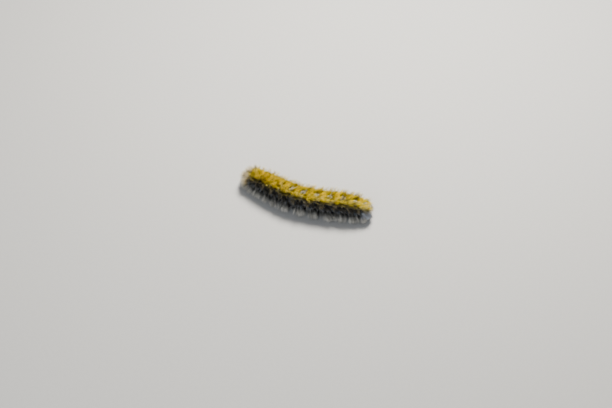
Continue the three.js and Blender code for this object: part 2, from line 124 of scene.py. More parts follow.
line_s = np.arange(-HEAD_REACH - 2, BODY_LENGTH + HEAD_REACH + 2, LINE_STEP)
turns = heading(line_s[:-1] + LINE_STEP / 2)
line_x = np.concatenate([[0.0], np.cumsum(np.cos(turns) * LINE_STEP)])
line_y = np.concatenate([[0.0], np.cumsum(np.sin(turns) * LINE_STEP)])


def frame_at(s):
    """Centre of the body at s and the directions back (to the tail), side (to +Y) and up."""
    s = np.asarray(s, float)
    turn = heading(s)
    zero = np.zeros_like(s)
    centre = np.stack([np.interp(s, line_s, line_x), np.interp(s, line_s, line_y),
                       BELLY_CLEARANCE + BELLY_FLATNESS * radius_at(s)], -1)
    back = np.stack([np.cos(turn), np.sin(turn), zero], -1)
    side = np.stack([-np.sin(turn), np.cos(turn), zero], -1)
    up = np.stack([zero, zero, zero + 1], -1)
    return centre, back, side, up


# %% [markdown]
# The solids were shifted so that the model's outline is centred on the origin. The prolegs stand
# at places that the line gives, so the mean offset between their boxes and those places is the
# shift.

# %% Shift onto the solids
PROLEG_OFFSET = 1.3
PROLEG_SEGMENTS = ["abdomen_3", "abdomen_4", "abdomen_5", "abdomen_6"]


def box_middle(node):
    """The middle of a solid's box, in millimetres."""
    low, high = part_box(node)
    return (np.array(low) + np.array(high)) / 2 / MM


shifts = []
for name in PROLEG_SEGMENTS:
    centre = frame_at(MIDDLES[NAMES.index(name)])[0]
    pair = [box_middle(f"proleg_{name}_{side}") for side in ("left", "right")]
    shifts.append((pair[0] + pair[1])[:2] / 2 - centre[:2])
shift = np.mean(shifts, axis=0)
line_x += shift[0]
line_y += shift[1]
print("shift onto the solids, mm:", np.round(shift, 3),
      "spread", np.round(np.ptp(shifts, axis=0), 3))

# %% [markdown]
# ## From arrays to Blender
# A surface here is always a grid of points or a bundle of like pieces, held in numpy arrays.
# Blender can be fed point by point, which is slow and hides the shape in loops. foreach_set takes
# whole arrays, so one helper is enough for every piece.

# %% Mesh helper
BAKE_MAP, BODY_MAP, STRAND_MAP = "OFBake", "Body", "Strand"


def make_piece(name, points, faces, material, slot, uvs=None, replaces=()):
    """Makes one object from points in millimetres and a rectangular array of faces, sets it smooth,
    adds the UV maps (one pair for each vertex of each face), and lets it ride on the body."""
    mesh = bpy.data.meshes.new(name)
    mesh.vertices.add(len(points))
    mesh.vertices.foreach_set("co", (np.asarray(points) * MM).astype(np.float32).ravel())
    sides = faces.shape[1]
    mesh.loops.add(faces.size)
    mesh.loops.foreach_set("vertex_index", faces.astype(np.int32).ravel())
    mesh.polygons.add(len(faces))
    mesh.polygons.foreach_set("loop_start", np.arange(0, faces.size, sides, dtype=np.int32))
    for map_name, values in (uvs or {}).items():
        layer = mesh.uv_layers.new(name=map_name)
        layer.data.foreach_set("uv", values.astype(np.float32).ravel())
    mesh.update(calc_edges=True)
    mesh.validate()
    mesh.polygons.foreach_set("use_smooth", np.ones(len(mesh.polygons), bool))
    mesh.materials.append(material)
    piece = bpy.data.objects.new(name, mesh)
    bpy.context.scene.collection.objects.link(piece)
    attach(piece, ROOT_BODY)
    if replaces:
        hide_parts(*replaces)
    print(f"{name}: {len(points)} points, {len(faces) * (sides - 2)} triangles")


def grid_faces(rows, columns):
    """The quads of a grid of points, row by row, with its last column joined to its first."""
    row, column = np.meshgrid(np.arange(rows - 1), np.arange(columns), indexing="ij")
    following = (column + 1) % columns
    quads = [row * columns + column, row * columns + following,
             (row + 1) * columns + following, (row + 1) * columns + column]
    return np.stack(quads, -1).reshape(-1, 4)


def loft(centres, right, front, radii, sides):
    """Round rings along a path: each point is the centre plus radius times (cos a right + sin a
    front). Where the first and last radii are next to nothing, the form ends in points."""
    angle = np.arange(sides) / sides * 2 * math.pi
    ring = (right[:, None] * np.cos(angle)[None, :, None]
            + front[:, None] * np.sin(angle)[None, :, None])
    return (centres[:, None] + ring * np.asarray(radii)[:, None, None]).reshape(-1, 3)


def merged(parts):
    """Several (points, quads) pairs as one pair, with the face numbers moved up."""
    points, faces, count = [], [], 0
    for part_points, part_faces in parts:
        points.append(part_points)
        faces.append(part_faces + count)
        count += len(part_points)
    return np.concatenate(points), np.concatenate(faces)


# %% [markdown]
# ## Materials
# All the colour on this larva depends on where on the body a hair or a bit of skin sits. An image
# could hold that, but it would blur close up. Instead each piece carries a UV map named Body:
# across it runs the ring's number plus the share of the way along it, and up it the angle round
# the body. The nodes turn those two numbers back into degrees and shares and paint with
# soft-edged bands, and because skin and coat use the same nodes, their markings always agree.

# %% Node helpers
class Nodes:
    """Short names for the handful of nodes that the markings are made of."""

    def __init__(self, name):
        self.material = bpy.data.materials.new(name)
        self.material.use_nodes = True
        self.tree = self.material.node_tree
        self.shader = self.tree.nodes["Principled BSDF"]

    def new(self, kind, **settings):
        node = self.tree.nodes.new(kind)
        for key, value in settings.items():
            setattr(node, key, value)
        return node

    def feed(self, socket, value):
        """Links a socket to another one, or sets a constant on it."""
        if isinstance(value, bpy.types.NodeSocket):
            self.tree.links.new(value, socket)
        else:
            socket.default_value = value

    def math(self, operation, a, b=0.0):
        node = self.new("ShaderNodeMath", operation=operation)
        self.feed(node.inputs[0], a)
        self.feed(node.inputs[1], b)
        return node.outputs[0]

    def ramp_up(self, value, low, high):
        """0 below low, 1 above high, smooth between."""
        node = self.new("ShaderNodeMapRange", interpolation_type="SMOOTHSTEP")
        self.feed(node.inputs["Value"], value)
        node.inputs["From Min"].default_value = low
        node.inputs["From Max"].default_value = high
        return node.outputs["Result"]

    def band(self, value, low, high, soft):
        """1 between low and high, with soft edges: a ramp up times one less a second ramp."""
        rise = self.ramp_up(value, low - soft, low + soft)
        fall = self.ramp_up(value, high - soft, high + soft)
        return self.math("MULTIPLY", rise, self.math("SUBTRACT", 1.0, fall))

    def mix(self, share, a, b):
        """a at share 0, b at share 1. Each may be a colour or a socket."""
        node = self.new("ShaderNodeMix", data_type="RGBA", blend_type="MIX")
        self.feed(node.inputs["Factor"], share)
        for socket, value in zip((node.inputs[6], node.inputs[7]), (a, b)):
            self.feed(socket, value if isinstance(value, bpy.types.NodeSocket) else (*value, 1.0))
        return node.outputs[2]

    def uv(self, name):
        """The two numbers of a UV map, and the map as one vector."""
        node = self.new("ShaderNodeUVMap", uv_map=name)
        split = self.new("ShaderNodeSeparateXYZ")
        self.feed(split.inputs[0], node.outputs[0])
        return split.outputs[0], split.outputs[1], node.outputs[0]

    def noise(self, vector, scale, detail=2.0):
        node = self.new("ShaderNodeTexNoise")
        self.feed(node.inputs["Vector"], vector)
        node.inputs["Scale"].default_value = scale
        node.inputs["Detail"].default_value = detail
        return node.outputs["Fac"]

    def object_place(self):
        return self.new("ShaderNodeTexCoord").outputs["Object"]

    def bumpy(self, height, distance):
        """Bends the shading as if the surface rose by distance millimetres times height."""
        node = self.new("ShaderNodeBump")
        self.feed(node.inputs["Height"], height)
        node.inputs["Distance"].default_value = distance * MM
        node.inputs["Strength"].default_value = 1.0
        self.feed(self.shader.inputs["Normal"], node.outputs["Normal"])


# %% The markings, once for skin and coat
GOLD, DEEP_GOLD = (1.0, 0.79, 0.002), (0.26, 0.14, 0.002)
BLACK, VIOLET = (0.008, 0.007, 0.008), (0.035, 0.022, 0.04)
CREAM, WHITE = (0.80, 0.68, 0.40), (0.95, 0.93, 0.86)
SLATE, GREY = (0.20, 0.24, 0.30), (0.22, 0.21, 0.19)
RING_COUNT = len(NAMES)
DASH_HALF, SPOT_FROM, SPOT_TO, GOLD_EDGE = 7.5, 8.5, 21.0, 35.0
SCALLOP_DEPTH, CREAM_LINE, PALE_GAP = 8.0, (52, 57), (42, 76)
SLATE_LINE, LOW_EDGE = (78, 87), (86, 92)
SPOT_SHARE, DASH_SHARE, PATCH_SHARE = (0.22, 0.80), (0.34, 0.68), (0.16, 0.86)
NAPE_RINGS, COLLAR_RINGS, RUMP_RINGS = (0.55, 1.05), (0.35, 0.75), (11.6, 12.1)


def body_position(n):
    """Reads the Body map back into (ring number, share along the ring, degrees from the top), and
    adds the map stretched for noise. The degrees wander by up to 7 either way, so that no edge of
    a marking is a clean line."""
    across, up, vector = n.uv(BODY_MAP)
    rings = n.math("MULTIPLY", across, float(RING_COUNT))
    share = n.math("FRACT", rings)
    degrees = n.math("ABSOLUTE", n.math("MULTIPLY", n.math("SUBTRACT", up, 0.5), 360.0))
    stretch = n.new("ShaderNodeVectorMath", operation="MULTIPLY")
    n.feed(stretch.inputs[0], vector)
    stretch.inputs[1].default_value = (float(RING_COUNT) * 4.0, 18.0, 1.0)
    ragged = n.noise(stretch.outputs[0], 2.2, 3.0)
    wobble = n.math("MULTIPLY", n.math("SUBTRACT", ragged, 0.5), 14.0)
    return rings, share, n.math("ADD", degrees, wobble), stretch.outputs[0]


def markings(n, low_colour):
    """Gold over the back, its edge scalloped at each ring; a white dash between two black spots on
    the middle of the ring, fainter on the thorax; below the gold a cream line, black patches with
    paler gaps, a slate line, then low_colour. The neck is cream with a violet nape behind it, and
    the sides of the rump are slate."""
    rings, share, degrees, place = body_position(n)
    flecks = n.ramp_up(n.noise(place, 7.0, 1.0), 0.56, 0.70)
    gold = n.mix(n.math("MULTIPLY", flecks, 0.85), GOLD, DEEP_GOLD)
    scallop = n.math("ADD", degrees, n.math("MULTIPLY", n.band(share, *SPOT_SHARE, 0.14),
                                             SCALLOP_DEPTH))
    colour = n.mix(n.ramp_up(scallop, GOLD_EDGE, GOLD_EDGE + 7), gold, BLACK)
    colour = n.mix(n.math("MULTIPLY", n.band(scallop, *CREAM_LINE, 2.0), 0.8), colour, CREAM)
    between_patches = n.math("SUBTRACT", 1.0, n.band(share, *PATCH_SHARE, 0.08))
    pale_gap = n.math("MULTIPLY", between_patches, n.band(degrees, *PALE_GAP, 4))
    colour = n.mix(n.math("MULTIPLY", pale_gap, 0.35), colour, CREAM)
    colour = n.mix(n.band(degrees, *SLATE_LINE, 2), colour, SLATE)
    colour = n.mix(n.ramp_up(degrees, *LOW_EDGE), colour, low_colour)
    spot = n.math("MULTIPLY", n.band(degrees, SPOT_FROM, SPOT_TO, 3),
                  n.band(share, *SPOT_SHARE, 0.07))
    near_top = n.ramp_up(n.math("MULTIPLY", degrees, -1.0), -DASH_HALF - 2, -DASH_HALF + 2)
    dash = n.math("MULTIPLY", near_top, n.band(share, *DASH_SHARE, 0.05))
    behind_thorax = n.ramp_up(rings, 3.5, 6.0)
    colour = n.mix(n.math("MULTIPLY", spot, n.math("MAXIMUM", behind_thorax, 0.35)), colour, BLACK)
    colour = n.mix(n.math("MULTIPLY", dash, n.math("MAXIMUM", behind_thorax, 0.2)), colour, WHITE)
    nape = n.math("MULTIPLY", n.band(rings, *NAPE_RINGS, 0.15), n.band(degrees, -30, 62, 8))
    colour = n.mix(n.math("MULTIPLY", nape, 0.85), colour, VIOLET)
    collar = n.math("SUBTRACT", 1.0, n.ramp_up(rings, *COLLAR_RINGS))
    colour = n.mix(collar, colour, CREAM)
    rump = n.math("MULTIPLY", n.ramp_up(rings, *RUMP_RINGS), n.ramp_up(degrees, 44, 60))
    return n.mix(rump, colour, SLATE)


# %% [markdown]
# Skin is soft and faintly wrinkled, so it gets the markings, darkened, and a fine bump. The
# darkening is partly the skin's own dark colour and partly painted shade, where the coat above
# shuts out the light. A hair is a thin translucent rod. Real fibre shading needs curves, which
# don't survive an export, so a plain surface with its colour running from a darker root to a pale
# tip stands in for it; the darker root is painted shade, where neighbouring hairs shut out the
# light.

# %% Skin and hair materials
def skin_material():
    """The markings, 0.6 of the way to near black (the skin's own dark colour and painted shade
    under the coat), mottled, with two sizes of noise as a bump.
    """
    n = Nodes("larva_skin")
    colour = markings(n, (0.07, 0.068, 0.065))
    place = n.object_place()
    mottle = n.ramp_up(n.noise(place, 2600.0, 3.0), 0.35, 0.65)
    # Painted shade: the skin is darkened 0.6 of the way to near black, partly for its own dark
    # colour and partly for the shade that the coat casts on it.
    colour = n.mix(0.6, colour, (0.02, 0.018, 0.016))
    colour = n.mix(n.math("MULTIPLY", mottle, 0.3), colour, (0.012, 0.012, 0.013))
    n.feed(n.shader.inputs["Base Color"], colour)
    n.shader.inputs["Roughness"].default_value = 0.5
    coarse = n.math("MULTIPLY", n.noise(place, 1500.0, 2.0), 1.5)
    n.bumpy(n.math("ADD", n.noise(place, 5200.0, 4.0), coarse), 0.06)
    return n.material


DIMMEST, CHANCE_ADDS = 0.25, 1.25


def hair_material(name, painted, tip, tip_share, root_shade, fade_from=0.35):
    """painted: a plain colour, or None for the markings. From fade_from to its end each hair fades
    into tip, by tip_share, and at the root it is darkened to root_shade, where neighbours shut the
    light out."""
    n = Nodes(name)
    along, chance, _ = n.uv(STRAND_MAP)
    colour = markings(n, GREY) if painted is None else painted
    fade = n.math("MULTIPLY", n.ramp_up(along, fade_from, 1.0), tip_share)
    colour = n.mix(fade, colour, tip)
    lit = n.math("MULTIPLY", n.ramp_up(along, 0.0, 0.6), 1.0 - root_shade)
    shade = n.math("ADD", root_shade, lit)
    bright = n.math("ADD", DIMMEST, n.math("MULTIPLY", chance, CHANCE_ADDS))
    node = n.new("ShaderNodeVectorMath", operation="SCALE")
    n.feed(node.inputs[0], colour if isinstance(colour, bpy.types.NodeSocket) else (*colour,))
    n.feed(node.inputs["Scale"], n.math("MULTIPLY", shade, bright))
    n.feed(n.shader.inputs["Base Color"], node.outputs[0])
    n.shader.inputs["Roughness"].default_value = 0.48
    n.shader.inputs["Specular IOR Level"].default_value = 0.12
    return n.material


def horn_material(name, dark, light, roughness, grain, depth):
    """Hard horn: dark, mottled with a lighter colour, with a fine net of pits and a gloss."""
    n = Nodes(name)
    place = n.object_place()
    mottle = n.ramp_up(n.noise(place, grain * 0.35, 4.0), 0.48, 0.72)
    n.feed(n.shader.inputs["Base Color"], n.mix(mottle, dark, light))
    pits = n.new("ShaderNodeTexVoronoi", feature="DISTANCE_TO_EDGE")
    n.feed(pits.inputs["Vector"], place)
    pits.inputs["Scale"].default_value = grain
    n.bumpy(n.ramp_up(pits.outputs["Distance"], 0.0, 0.35), depth)
    n.shader.inputs["Roughness"].default_value = roughness
    n.shader.inputs["Coat Weight"].default_value = 0.25
    return n.material


SKIN = skin_material()
HEAD_HORN = horn_material("head_horn", (0.018, 0.019, 0.026), (0.09, 0.095, 0.12),
                          0.34, 9000.0, 0.02)
LEG_HORN = horn_material("leg_horn", (0.010, 0.008, 0.007), (0.06, 0.035, 0.02),
                         0.30, 12000.0, 0.01)
JAW_HORN = horn_material("jaw_horn", (0.022, 0.010, 0.006), (0.10, 0.045, 0.018),
                         0.28, 14000.0, 0.008)
EYE_GLOSS = horn_material("eye_gloss", (0.004, 0.004, 0.005), (0.012, 0.011, 0.010),
                          0.08, 3000.0, 0.001)
print("materials:", [m.name for m in bpy.data.materials])

# %% [markdown]
# ## One skin
# The real skin is one bag from neck to tail, prolegs and all. Separate tubes would show a seam
# wherever a proleg meets the belly. So the tubes are overlapped, turned into one surface by a
# voxel remesh, relaxed a little to blend the joins, and only then given their folds and warts.

# %% The rough body and its prolegs
PROLEG_RADIUS = 0.92
PROLEG_PROFILE = [(1.15, 0.96), (0.75, 0.82), (0.38, 0.78), (0.22, 0.92), (0.05, 0.88)]
ANAL_OFFSET, ANAL_SHARE, ANAL_RADIUS = 1.0, 0.45, PROLEG_RADIUS * 0.9
NECK_START, NECK_RADIUS = -0.9, 1.25


def skin_radius(s):
    """The skin's radius with a crease at each ring's edge, a rounded tail and a neck drawn in."""
    index, share = segment_of(s)
    crease = 1 - CREASE_DEPTH * np.abs(2 * share - 1) ** 4
    crease = np.where((s < 0) | ((index == len(LENGTHS) - 1) & (share > 0.5)), 1.0, crease)
    first_ring = radius_at(0.0) * (1 - CREASE_DEPTH)
    neck = NECK_RADIUS + (first_ring - NECK_RADIUS) * smooth(1 - s / NECK_START)
    return np.where(s < 0, neck, radius_at(s) * crease * np.maximum(rounding(s), 0.02))


def body_point(s, angle, radius):
    """Centre + radius (sin a side + cos a up), a little flattened below the centre."""
    centre, _, side, up = frame_at(s)
    high = np.cos(angle) * np.where(np.cos(angle) < 0, BELLY_FLATNESS, 1.0)
    return centre + side * (radius * np.sin(angle))[..., None] + up * (radius * high)[..., None]


def proleg_places():
    """Every proleg as (s, offset to the side, radius), both sides of each pair."""
    places = [(MIDDLES[NAMES.index(name)], PROLEG_OFFSET, PROLEG_RADIUS)
              for name in PROLEG_SEGMENTS]
    places.append((EDGES[-2] + ANAL_SHARE * LENGTHS[-1], ANAL_OFFSET, ANAL_RADIUS))
    return [(s, sign * offset, radius) for s, offset, radius in places for sign in (-1, 1)]


def rough_tube():
    """The body as a grid of rings from the neck to the tail, with the end rings drawn in almost to
    a point."""
    s = np.linspace(NECK_START, BODY_LENGTH - 0.001, 420)
    angle = np.arange(64) / 64 * 2 * math.pi
    grid_s, grid_angle = np.meshgrid(s, angle, indexing="ij")
    radius = skin_radius(grid_s)
    points = body_point(grid_s, grid_angle, radius)
    for end in (0, -1):
        points[end] = points[end].mean(axis=0) + (points[end] - points[end].mean(axis=0)) * 1e-3
    return points.reshape(-1, 3), grid_faces(len(s), len(angle))


def rough_proleg(s, offset, radius):
    """An upright stack of rings from inside the belly to just above the floor: each ring's radius
    is the proleg's own times a share from the profile."""
    centre, back, side, _ = frame_at(s)
    root = float(centre[2] - 0.35 * radius_at(s))
    profile = [(root + 0.01, 1e-3), (root, 1.0), *PROLEG_PROFILE, (0.03, 0.7), (0.029, 1e-3)]
    heights, shares = np.array(profile).T
    rows = np.linspace(0, len(profile) - 1, 40)
    heights = np.interp(rows, np.arange(len(profile)), heights)
    shares = np.interp(rows, np.arange(len(profile)), shares)
    centres = np.repeat((centre + side * offset)[None], len(rows), 0)
    centres[:, 2] = heights
    ones = np.ones((len(rows), 1))
    return loft(centres, ones * side, ones * back, shares * radius, 28), grid_faces(len(rows), 28)


SKIN_VOXEL = 0.13
rough_prolegs = [rough_proleg(*place) for place in proleg_places()]
rough_points, rough_faces = merged([rough_tube(), *rough_prolegs])
rough_mesh = bpy.data.meshes.new("rough")
rough_mesh.from_pydata(rough_points.tolist(), [], rough_faces.tolist())
rough = bpy.data.objects.new("rough", rough_mesh)
bpy.context.scene.collection.objects.link(rough)
remesh = rough.modifiers.new("one surface", "REMESH")
remesh.mode, remesh.voxel_size = "VOXEL", SKIN_VOXEL
relax = rough.modifiers.new("relax", "SMOOTH")
relax.factor, relax.iterations = 0.5, 6
evaluated = rough.evaluated_get(bpy.context.evaluated_depsgraph_get()).to_mesh()
skin_points = np.empty(len(evaluated.vertices) * 3)
evaluated.vertices.foreach_get("co", skin_points)
skin_points = skin_points.reshape(-1, 3)
skin_normals = np.empty(len(evaluated.vertices) * 3)
evaluated.vertices.foreach_get("normal", skin_normals)
skin_normals = skin_normals.reshape(-1, 3)
corner_counts = np.array([p.loop_total for p in evaluated.polygons])
skin_faces = np.array([list(p.vertices) for p in evaluated.polygons])
bpy.data.objects.remove(rough, do_unlink=True)
print("skin after the remesh:", len(skin_points), "points; sides per face",
      np.unique(corner_counts))

# %% [markdown]
# The relaxed surface has no rings of its own any more, so each point is asked where it sits: the
# nearest place on the middle line gives s, and the direction from there gives the angle.

# %% Where each point of the skin sits
WARTS = [(38, 0.42, 0.42, 0.13), (66, 0.5, 0.42, 0.16),
         (94, 0.5, 0.62, 0.30), (122, 0.5, 0.45, 0.16)]
FOLDS, FOLD_WIDTH = [(0.30, 0.045), (0.64, 0.05)], 0.035
EDGE_GROOVE, EDGE_WIDTH, RIPPLE_HEIGHT, FOOT_FOLD = 0.07, 0.05, 0.012, 0.03


def locate(points):
    """(s, angle) of points: the closest sample of the middle line in plan, moved by how far behind
    it the point lies, and the angle of what is left, with the belly's flattening undone."""
    samples = np.arange(-2.0, BODY_LENGTH + 2.0, 0.25)
    centres, back, _, _ = frame_at(samples)
    s = np.empty(len(points))
    for start in range(0, len(points), 20000):
        block = points[start:start + 20000, None, :2] - centres[None, :, :2]
        s[start:start + 20000] = samples[(block**2).sum(-1).argmin(1)]
    centre, back, side, _ = frame_at(s)
    s = s + ((points - centre) * back).sum(-1)
    centre, back, side, _ = frame_at(s)
    away = points - centre
    high = away[:, 2] / np.where(away[:, 2] < 0, BELLY_FLATNESS, 1.0)
    return s, np.arctan2((away * side).sum(-1), high)


def body_map(s, angle):
    """The Body map of places on the skin: (ring number + share) / rings, and angle / 360 + 1/2."""
    index, share = segment_of(s)
    across = (index + np.clip(share, 0.002, 0.998)) / RING_COUNT
    return np.stack([across, angle / (2 * math.pi) + 0.5], -1)


skin_s, skin_angle = locate(skin_points)
index, share = segment_of(skin_s)
degrees = np.abs(np.degrees(skin_angle))
relief = np.zeros(len(skin_points))
for place, depth in FOLDS:
    relief -= depth * bump(share - place, FOLD_WIDTH)
relief -= EDGE_GROOVE * (bump(share, EDGE_WIDTH) + bump(share - 1, EDGE_WIDTH))
for wart_degrees, wart_share, wart_radius, height in WARTS:
    along = (share - wart_share) * LENGTHS[index]
    around = np.radians(degrees - wart_degrees) * BODY_RADIUS
    relief += height * np.exp(-((along**2 + around**2) / wart_radius**2) ** 1.5)
wave = np.sin(skin_s * 9.1 + 2.0 * np.sin(skin_angle * 5))
ripple = wave * np.sin(skin_angle * 23 + skin_s * 3.3)
relief += RIPPLE_HEIGHT * ripple
on_body = smooth((skin_points[:, 2] - 0.9) / 0.5) * smooth((skin_s - 0.0) / 0.4)
above_sole = smooth((skin_points[:, 2] - 0.25) / 0.2)
foot_folds = FOOT_FOLD * np.sin(skin_points[:, 2] * 11.0) * (1 - on_body) * above_sole
skin_points = skin_points + skin_normals * (relief * on_body + foot_folds)[:, None]
skin_points[:, 2] = np.maximum(skin_points[:, 2], 0.0)

corner_map = body_map(skin_s, skin_angle)[skin_faces]
crosses = np.ptp(corner_map[..., 1], axis=1) > 0.5
corner_map[..., 1] += crosses[:, None] * (corner_map[..., 1] < 0.5)
proleg_nodes = [f"proleg_{name}_{side}" for name in [*PROLEG_SEGMENTS, NAMES[-1]]
                for side in ("left", "right")]
make_piece("skin", skin_points, skin_faces, SKIN, "coat", {BODY_MAP: corner_map},
           replaces=[*NAMES, *proleg_nodes])

# %% [markdown]
# ## The head
# A larva's head is a hard capsule of two cheeks. A seam runs down from the crown and forks round
# a three-cornered face plate; below that sit a short shield, a notched lip, two jaws and the
# feelers. Sculpting tools could do this by hand, but a sphere with a sum of named bells and
# grooves can be tuned one feature at a time, and it lands exactly where the solid head is.

# %% Head frame
HEAD_HALF = np.array([1.25, 1.7, 1.65])
HEAD_S, HEAD_Z = -1.15, 2.75
HEAD_TILT = math.radians(14)
head_centre, head_back, head_side, head_up = frame_at(HEAD_S)
head_centre = np.array([head_centre[0], head_centre[1], HEAD_Z])
FORWARD = -head_back * math.cos(HEAD_TILT) - head_up * math.sin(HEAD_TILT)
UPWARD = np.cross(head_side, FORWARD)


def on_head(depth, width, height):
    """A point of the head's own frame: so far forward, to the larva's +Y side, and up."""
    return (head_centre + np.multiply.outer(depth, FORWARD) + np.multiply.outer(width, head_side)
            + np.multiply.outer(height, UPWARD))


def capsule_scale(forward, across, high):
    """How far a direction of the unit sphere is pushed out: cheeks swell beside the middle, the
    seam is a narrow groove over the crown, and its fork is two grooves down beside the face plate,
    which lies low."""
    cheeks = 0.05 * bump(np.abs(across) - 0.5, 0.32) * bump(high + 0.05, 0.8)
    fork_at = 0.05 + 0.42 * np.clip(0.42 - high, 0, 1)
    is_face = smooth((forward - 0.05) / 0.25)
    below_fork = smooth((0.42 - high) / 0.08)
    seam = 0.075 * bump(across, 0.045) * (1 - below_fork * is_face)
    fork = 0.055 * bump(np.abs(across) - fork_at, 0.045) * below_fork * is_face
    plate = 0.045 * smooth((fork_at - np.abs(across)) / 0.08) * below_fork * is_face
    saddle = 0.05 * bump(across, 0.25) * smooth((high - 0.1) / 0.6)
    narrow = 0.10 * smooth((-high - 0.1) / 0.9) * np.abs(across)
    return 1 + cheeks - seam - fork - plate - saddle - narrow


def capsule_point(latitude, longitude):
    """Latitude runs from the chin to the crown and longitude round the head, 0 at the front."""
    forward = np.cos(latitude) * np.cos(longitude)
    across = np.cos(latitude) * np.sin(longitude)
    high = np.sin(latitude)
    scale = capsule_scale(forward, across, high)
    return on_head(forward * scale * HEAD_HALF[0], across * scale * HEAD_HALF[1],
                   high * scale * HEAD_HALF[2])


def globe(place, rows, columns):
    """A surface from a function of latitude and longitude. It stops a thousandth of a radian short
    of each pole, where the opening is far too small to see."""
    latitude = np.linspace(-math.pi / 2 + 1e-3, math.pi / 2 - 1e-3, rows)
    longitude = np.arange(columns) / columns * 2 * math.pi
    grid = np.meshgrid(latitude, longitude, indexing="ij")
    return place(*grid).reshape(-1, 3), grid_faces(rows, columns)


def dome(centre, axes, sizes, rows=14, columns=20, shape=lambda a, b, c: 1.0):
    """An ellipsoid: centre + a size0 axis0 + b size1 axis1 + c size2 axis2 over the unit sphere,
    times a shape of (a, b, c) that may notch or thin it."""
    def place(latitude, longitude):
        a = np.cos(latitude) * np.cos(longitude)
        b = np.cos(latitude) * np.sin(longitude)
        c = np.sin(latitude)
        scale = shape(a, b, c) * np.ones_like(a)
        arms = [np.multiply.outer(v * scale * size, axis)
                for v, size, axis in zip((a, b, c), sizes, axes)]
        return centre + sum(arms)
    return globe(place, rows, columns)


HEAD_AXES = (FORWARD, head_side, UPWARD)
make_piece("head_capsule", *globe(capsule_point, 150, 220), HEAD_HORN, "head", replaces=["head"])

# %% [markdown]
# The mouthparts are small plates and cones under the capsule. They are joined to one piece each
# for the horn that they are made of, because a hundred tiny objects would be harder to follow
# than one.

# %% Mouthparts
shield = dome(on_head(0.86, 0.0, -0.98), HEAD_AXES, (0.34, 0.56, 0.24))
lip = dome(on_head(1.02, 0.0, -1.28), HEAD_AXES, (0.26, 0.50, 0.24),
           shape=lambda a, b, c: 1 - 0.45 * bump(b, 0.16) * smooth(-c / 0.6))
cheek_bases = [dome(on_head(0.78, side * 0.98, -0.92), HEAD_AXES, (0.24, 0.26, 0.20))
               for side in (-1, 1)]
chin = dome(on_head(0.25, 0.0, -1.52), HEAD_AXES, (0.62, 0.62, 0.36))


def taper(points, radii, sides=10, steps=24):
    """A round form through a few points with a radius at each, eased by a smooth step between
    them, and drawn in almost to a point at both ends."""
    points, radii = np.asarray(points, float), np.asarray(radii, float)
    knots = np.arange(len(points))
    t = np.linspace(0, len(points) - 1, steps)
    eased = np.floor(t) + smooth(t - np.floor(t))
    path = np.stack([np.interp(0.5 * t + 0.5 * eased, knots, points[:, k]) for k in range(3)], -1)
    size = np.interp(eased, knots, radii)
    size[0], size[-1] = 1e-4, 1e-4
    tangent = np.gradient(path, axis=0)
    tangent /= np.linalg.norm(tangent, axis=1, keepdims=True) + 1e-12
    spare = np.where(np.abs(tangent[:, 2:]) < 0.9, [[0, 0, 1.0]], [[1.0, 0, 0]])
    right = np.cross(tangent, spare)
    right /= np.linalg.norm(right, axis=1, keepdims=True)
    return loft(path, right, np.cross(tangent, right), size, sides), grid_faces(steps, sides)


def toothed(a, b, c):
    """Nine low ridges round the lower part of a jaw, which end as its teeth."""
    return 1 + 0.10 * np.cos(9 * np.arctan2(b, a)) * smooth(-c / 0.5)


jaws = []
for side in (-1, 1):
    jaws.append(dome(on_head(0.82, side * 0.36, -1.47), HEAD_AXES, (0.36, 0.30, 0.30),
                     shape=toothed))
    palp = on_head([0.35, 0.75, 0.98, 1.12], side * np.array([0.66, 0.70, 0.66, 0.60]),
                   [-1.62, -1.74, -1.84, -1.92])
    jaws.append(taper(palp, [0.17, 0.14, 0.10, 0.05]))
spinneret = taper(on_head([0.45, 0.78, 1.0], [0.0, 0.0, 0.0], [-1.78, -1.90, -1.99]),
                  [0.15, 0.10, 0.04])
make_piece("face_plates", *merged([shield, lip, chin, *cheek_bases]), HEAD_HORN, "head")
make_piece("jaws", *merged([*jaws, spinneret]), JAW_HORN, "head")

# %% Simple eyes and feelers
EYE_ARC = [(-0.30, 62), (-0.12, 66), (0.06, 64), (0.17, 55), (-0.36, 48), (-0.42, 74)]
EYE_RADIUS = 0.115
eyes = []
for side in (-1, 1):
    for latitude, longitude in EYE_ARC:
        seat = capsule_point(np.array(latitude - 0.35), np.array(side * math.radians(longitude)))
        out = seat - head_centre
        out /= np.linalg.norm(out)
        eyes.append(dome(seat - out * 0.03, HEAD_AXES, (EYE_RADIUS,) * 3, 10, 14))
make_piece("simple_eyes", *merged(eyes), EYE_GLOSS, "head")

FEELER = [(0.55, 0.90, -0.95, 0.27), (0.98, 1.09, -1.05, 0.26), (1.02, 1.11, -1.06, 0.19),
          (1.45, 1.30, -1.15, 0.23), (1.49, 1.32, -1.155, 0.14), (1.95, 1.50, -1.20, 0.16),
          (1.98, 1.51, -1.20, 0.07), (2.3, 1.60, -1.20, 0.03)]
for side, name in ((-1, "left"), (1, "right")):
    depth, width, height, radius = np.array(FEELER).T
    points, faces = taper(on_head(depth, side * width, height), radius, 16, 60)
    make_piece(f"feeler_{name}", points, faces, HEAD_HORN, "head", replaces=[f"antenna_{name}"])

# %% [markdown]
# ## Walking legs
# The three pairs of true legs are stacks of horn cones, narrow at each joint, that end in one
# hooked claw. A path with a radius at every joint gives the cones, and a tight pair of radii at
# each joint gives the groove between them.

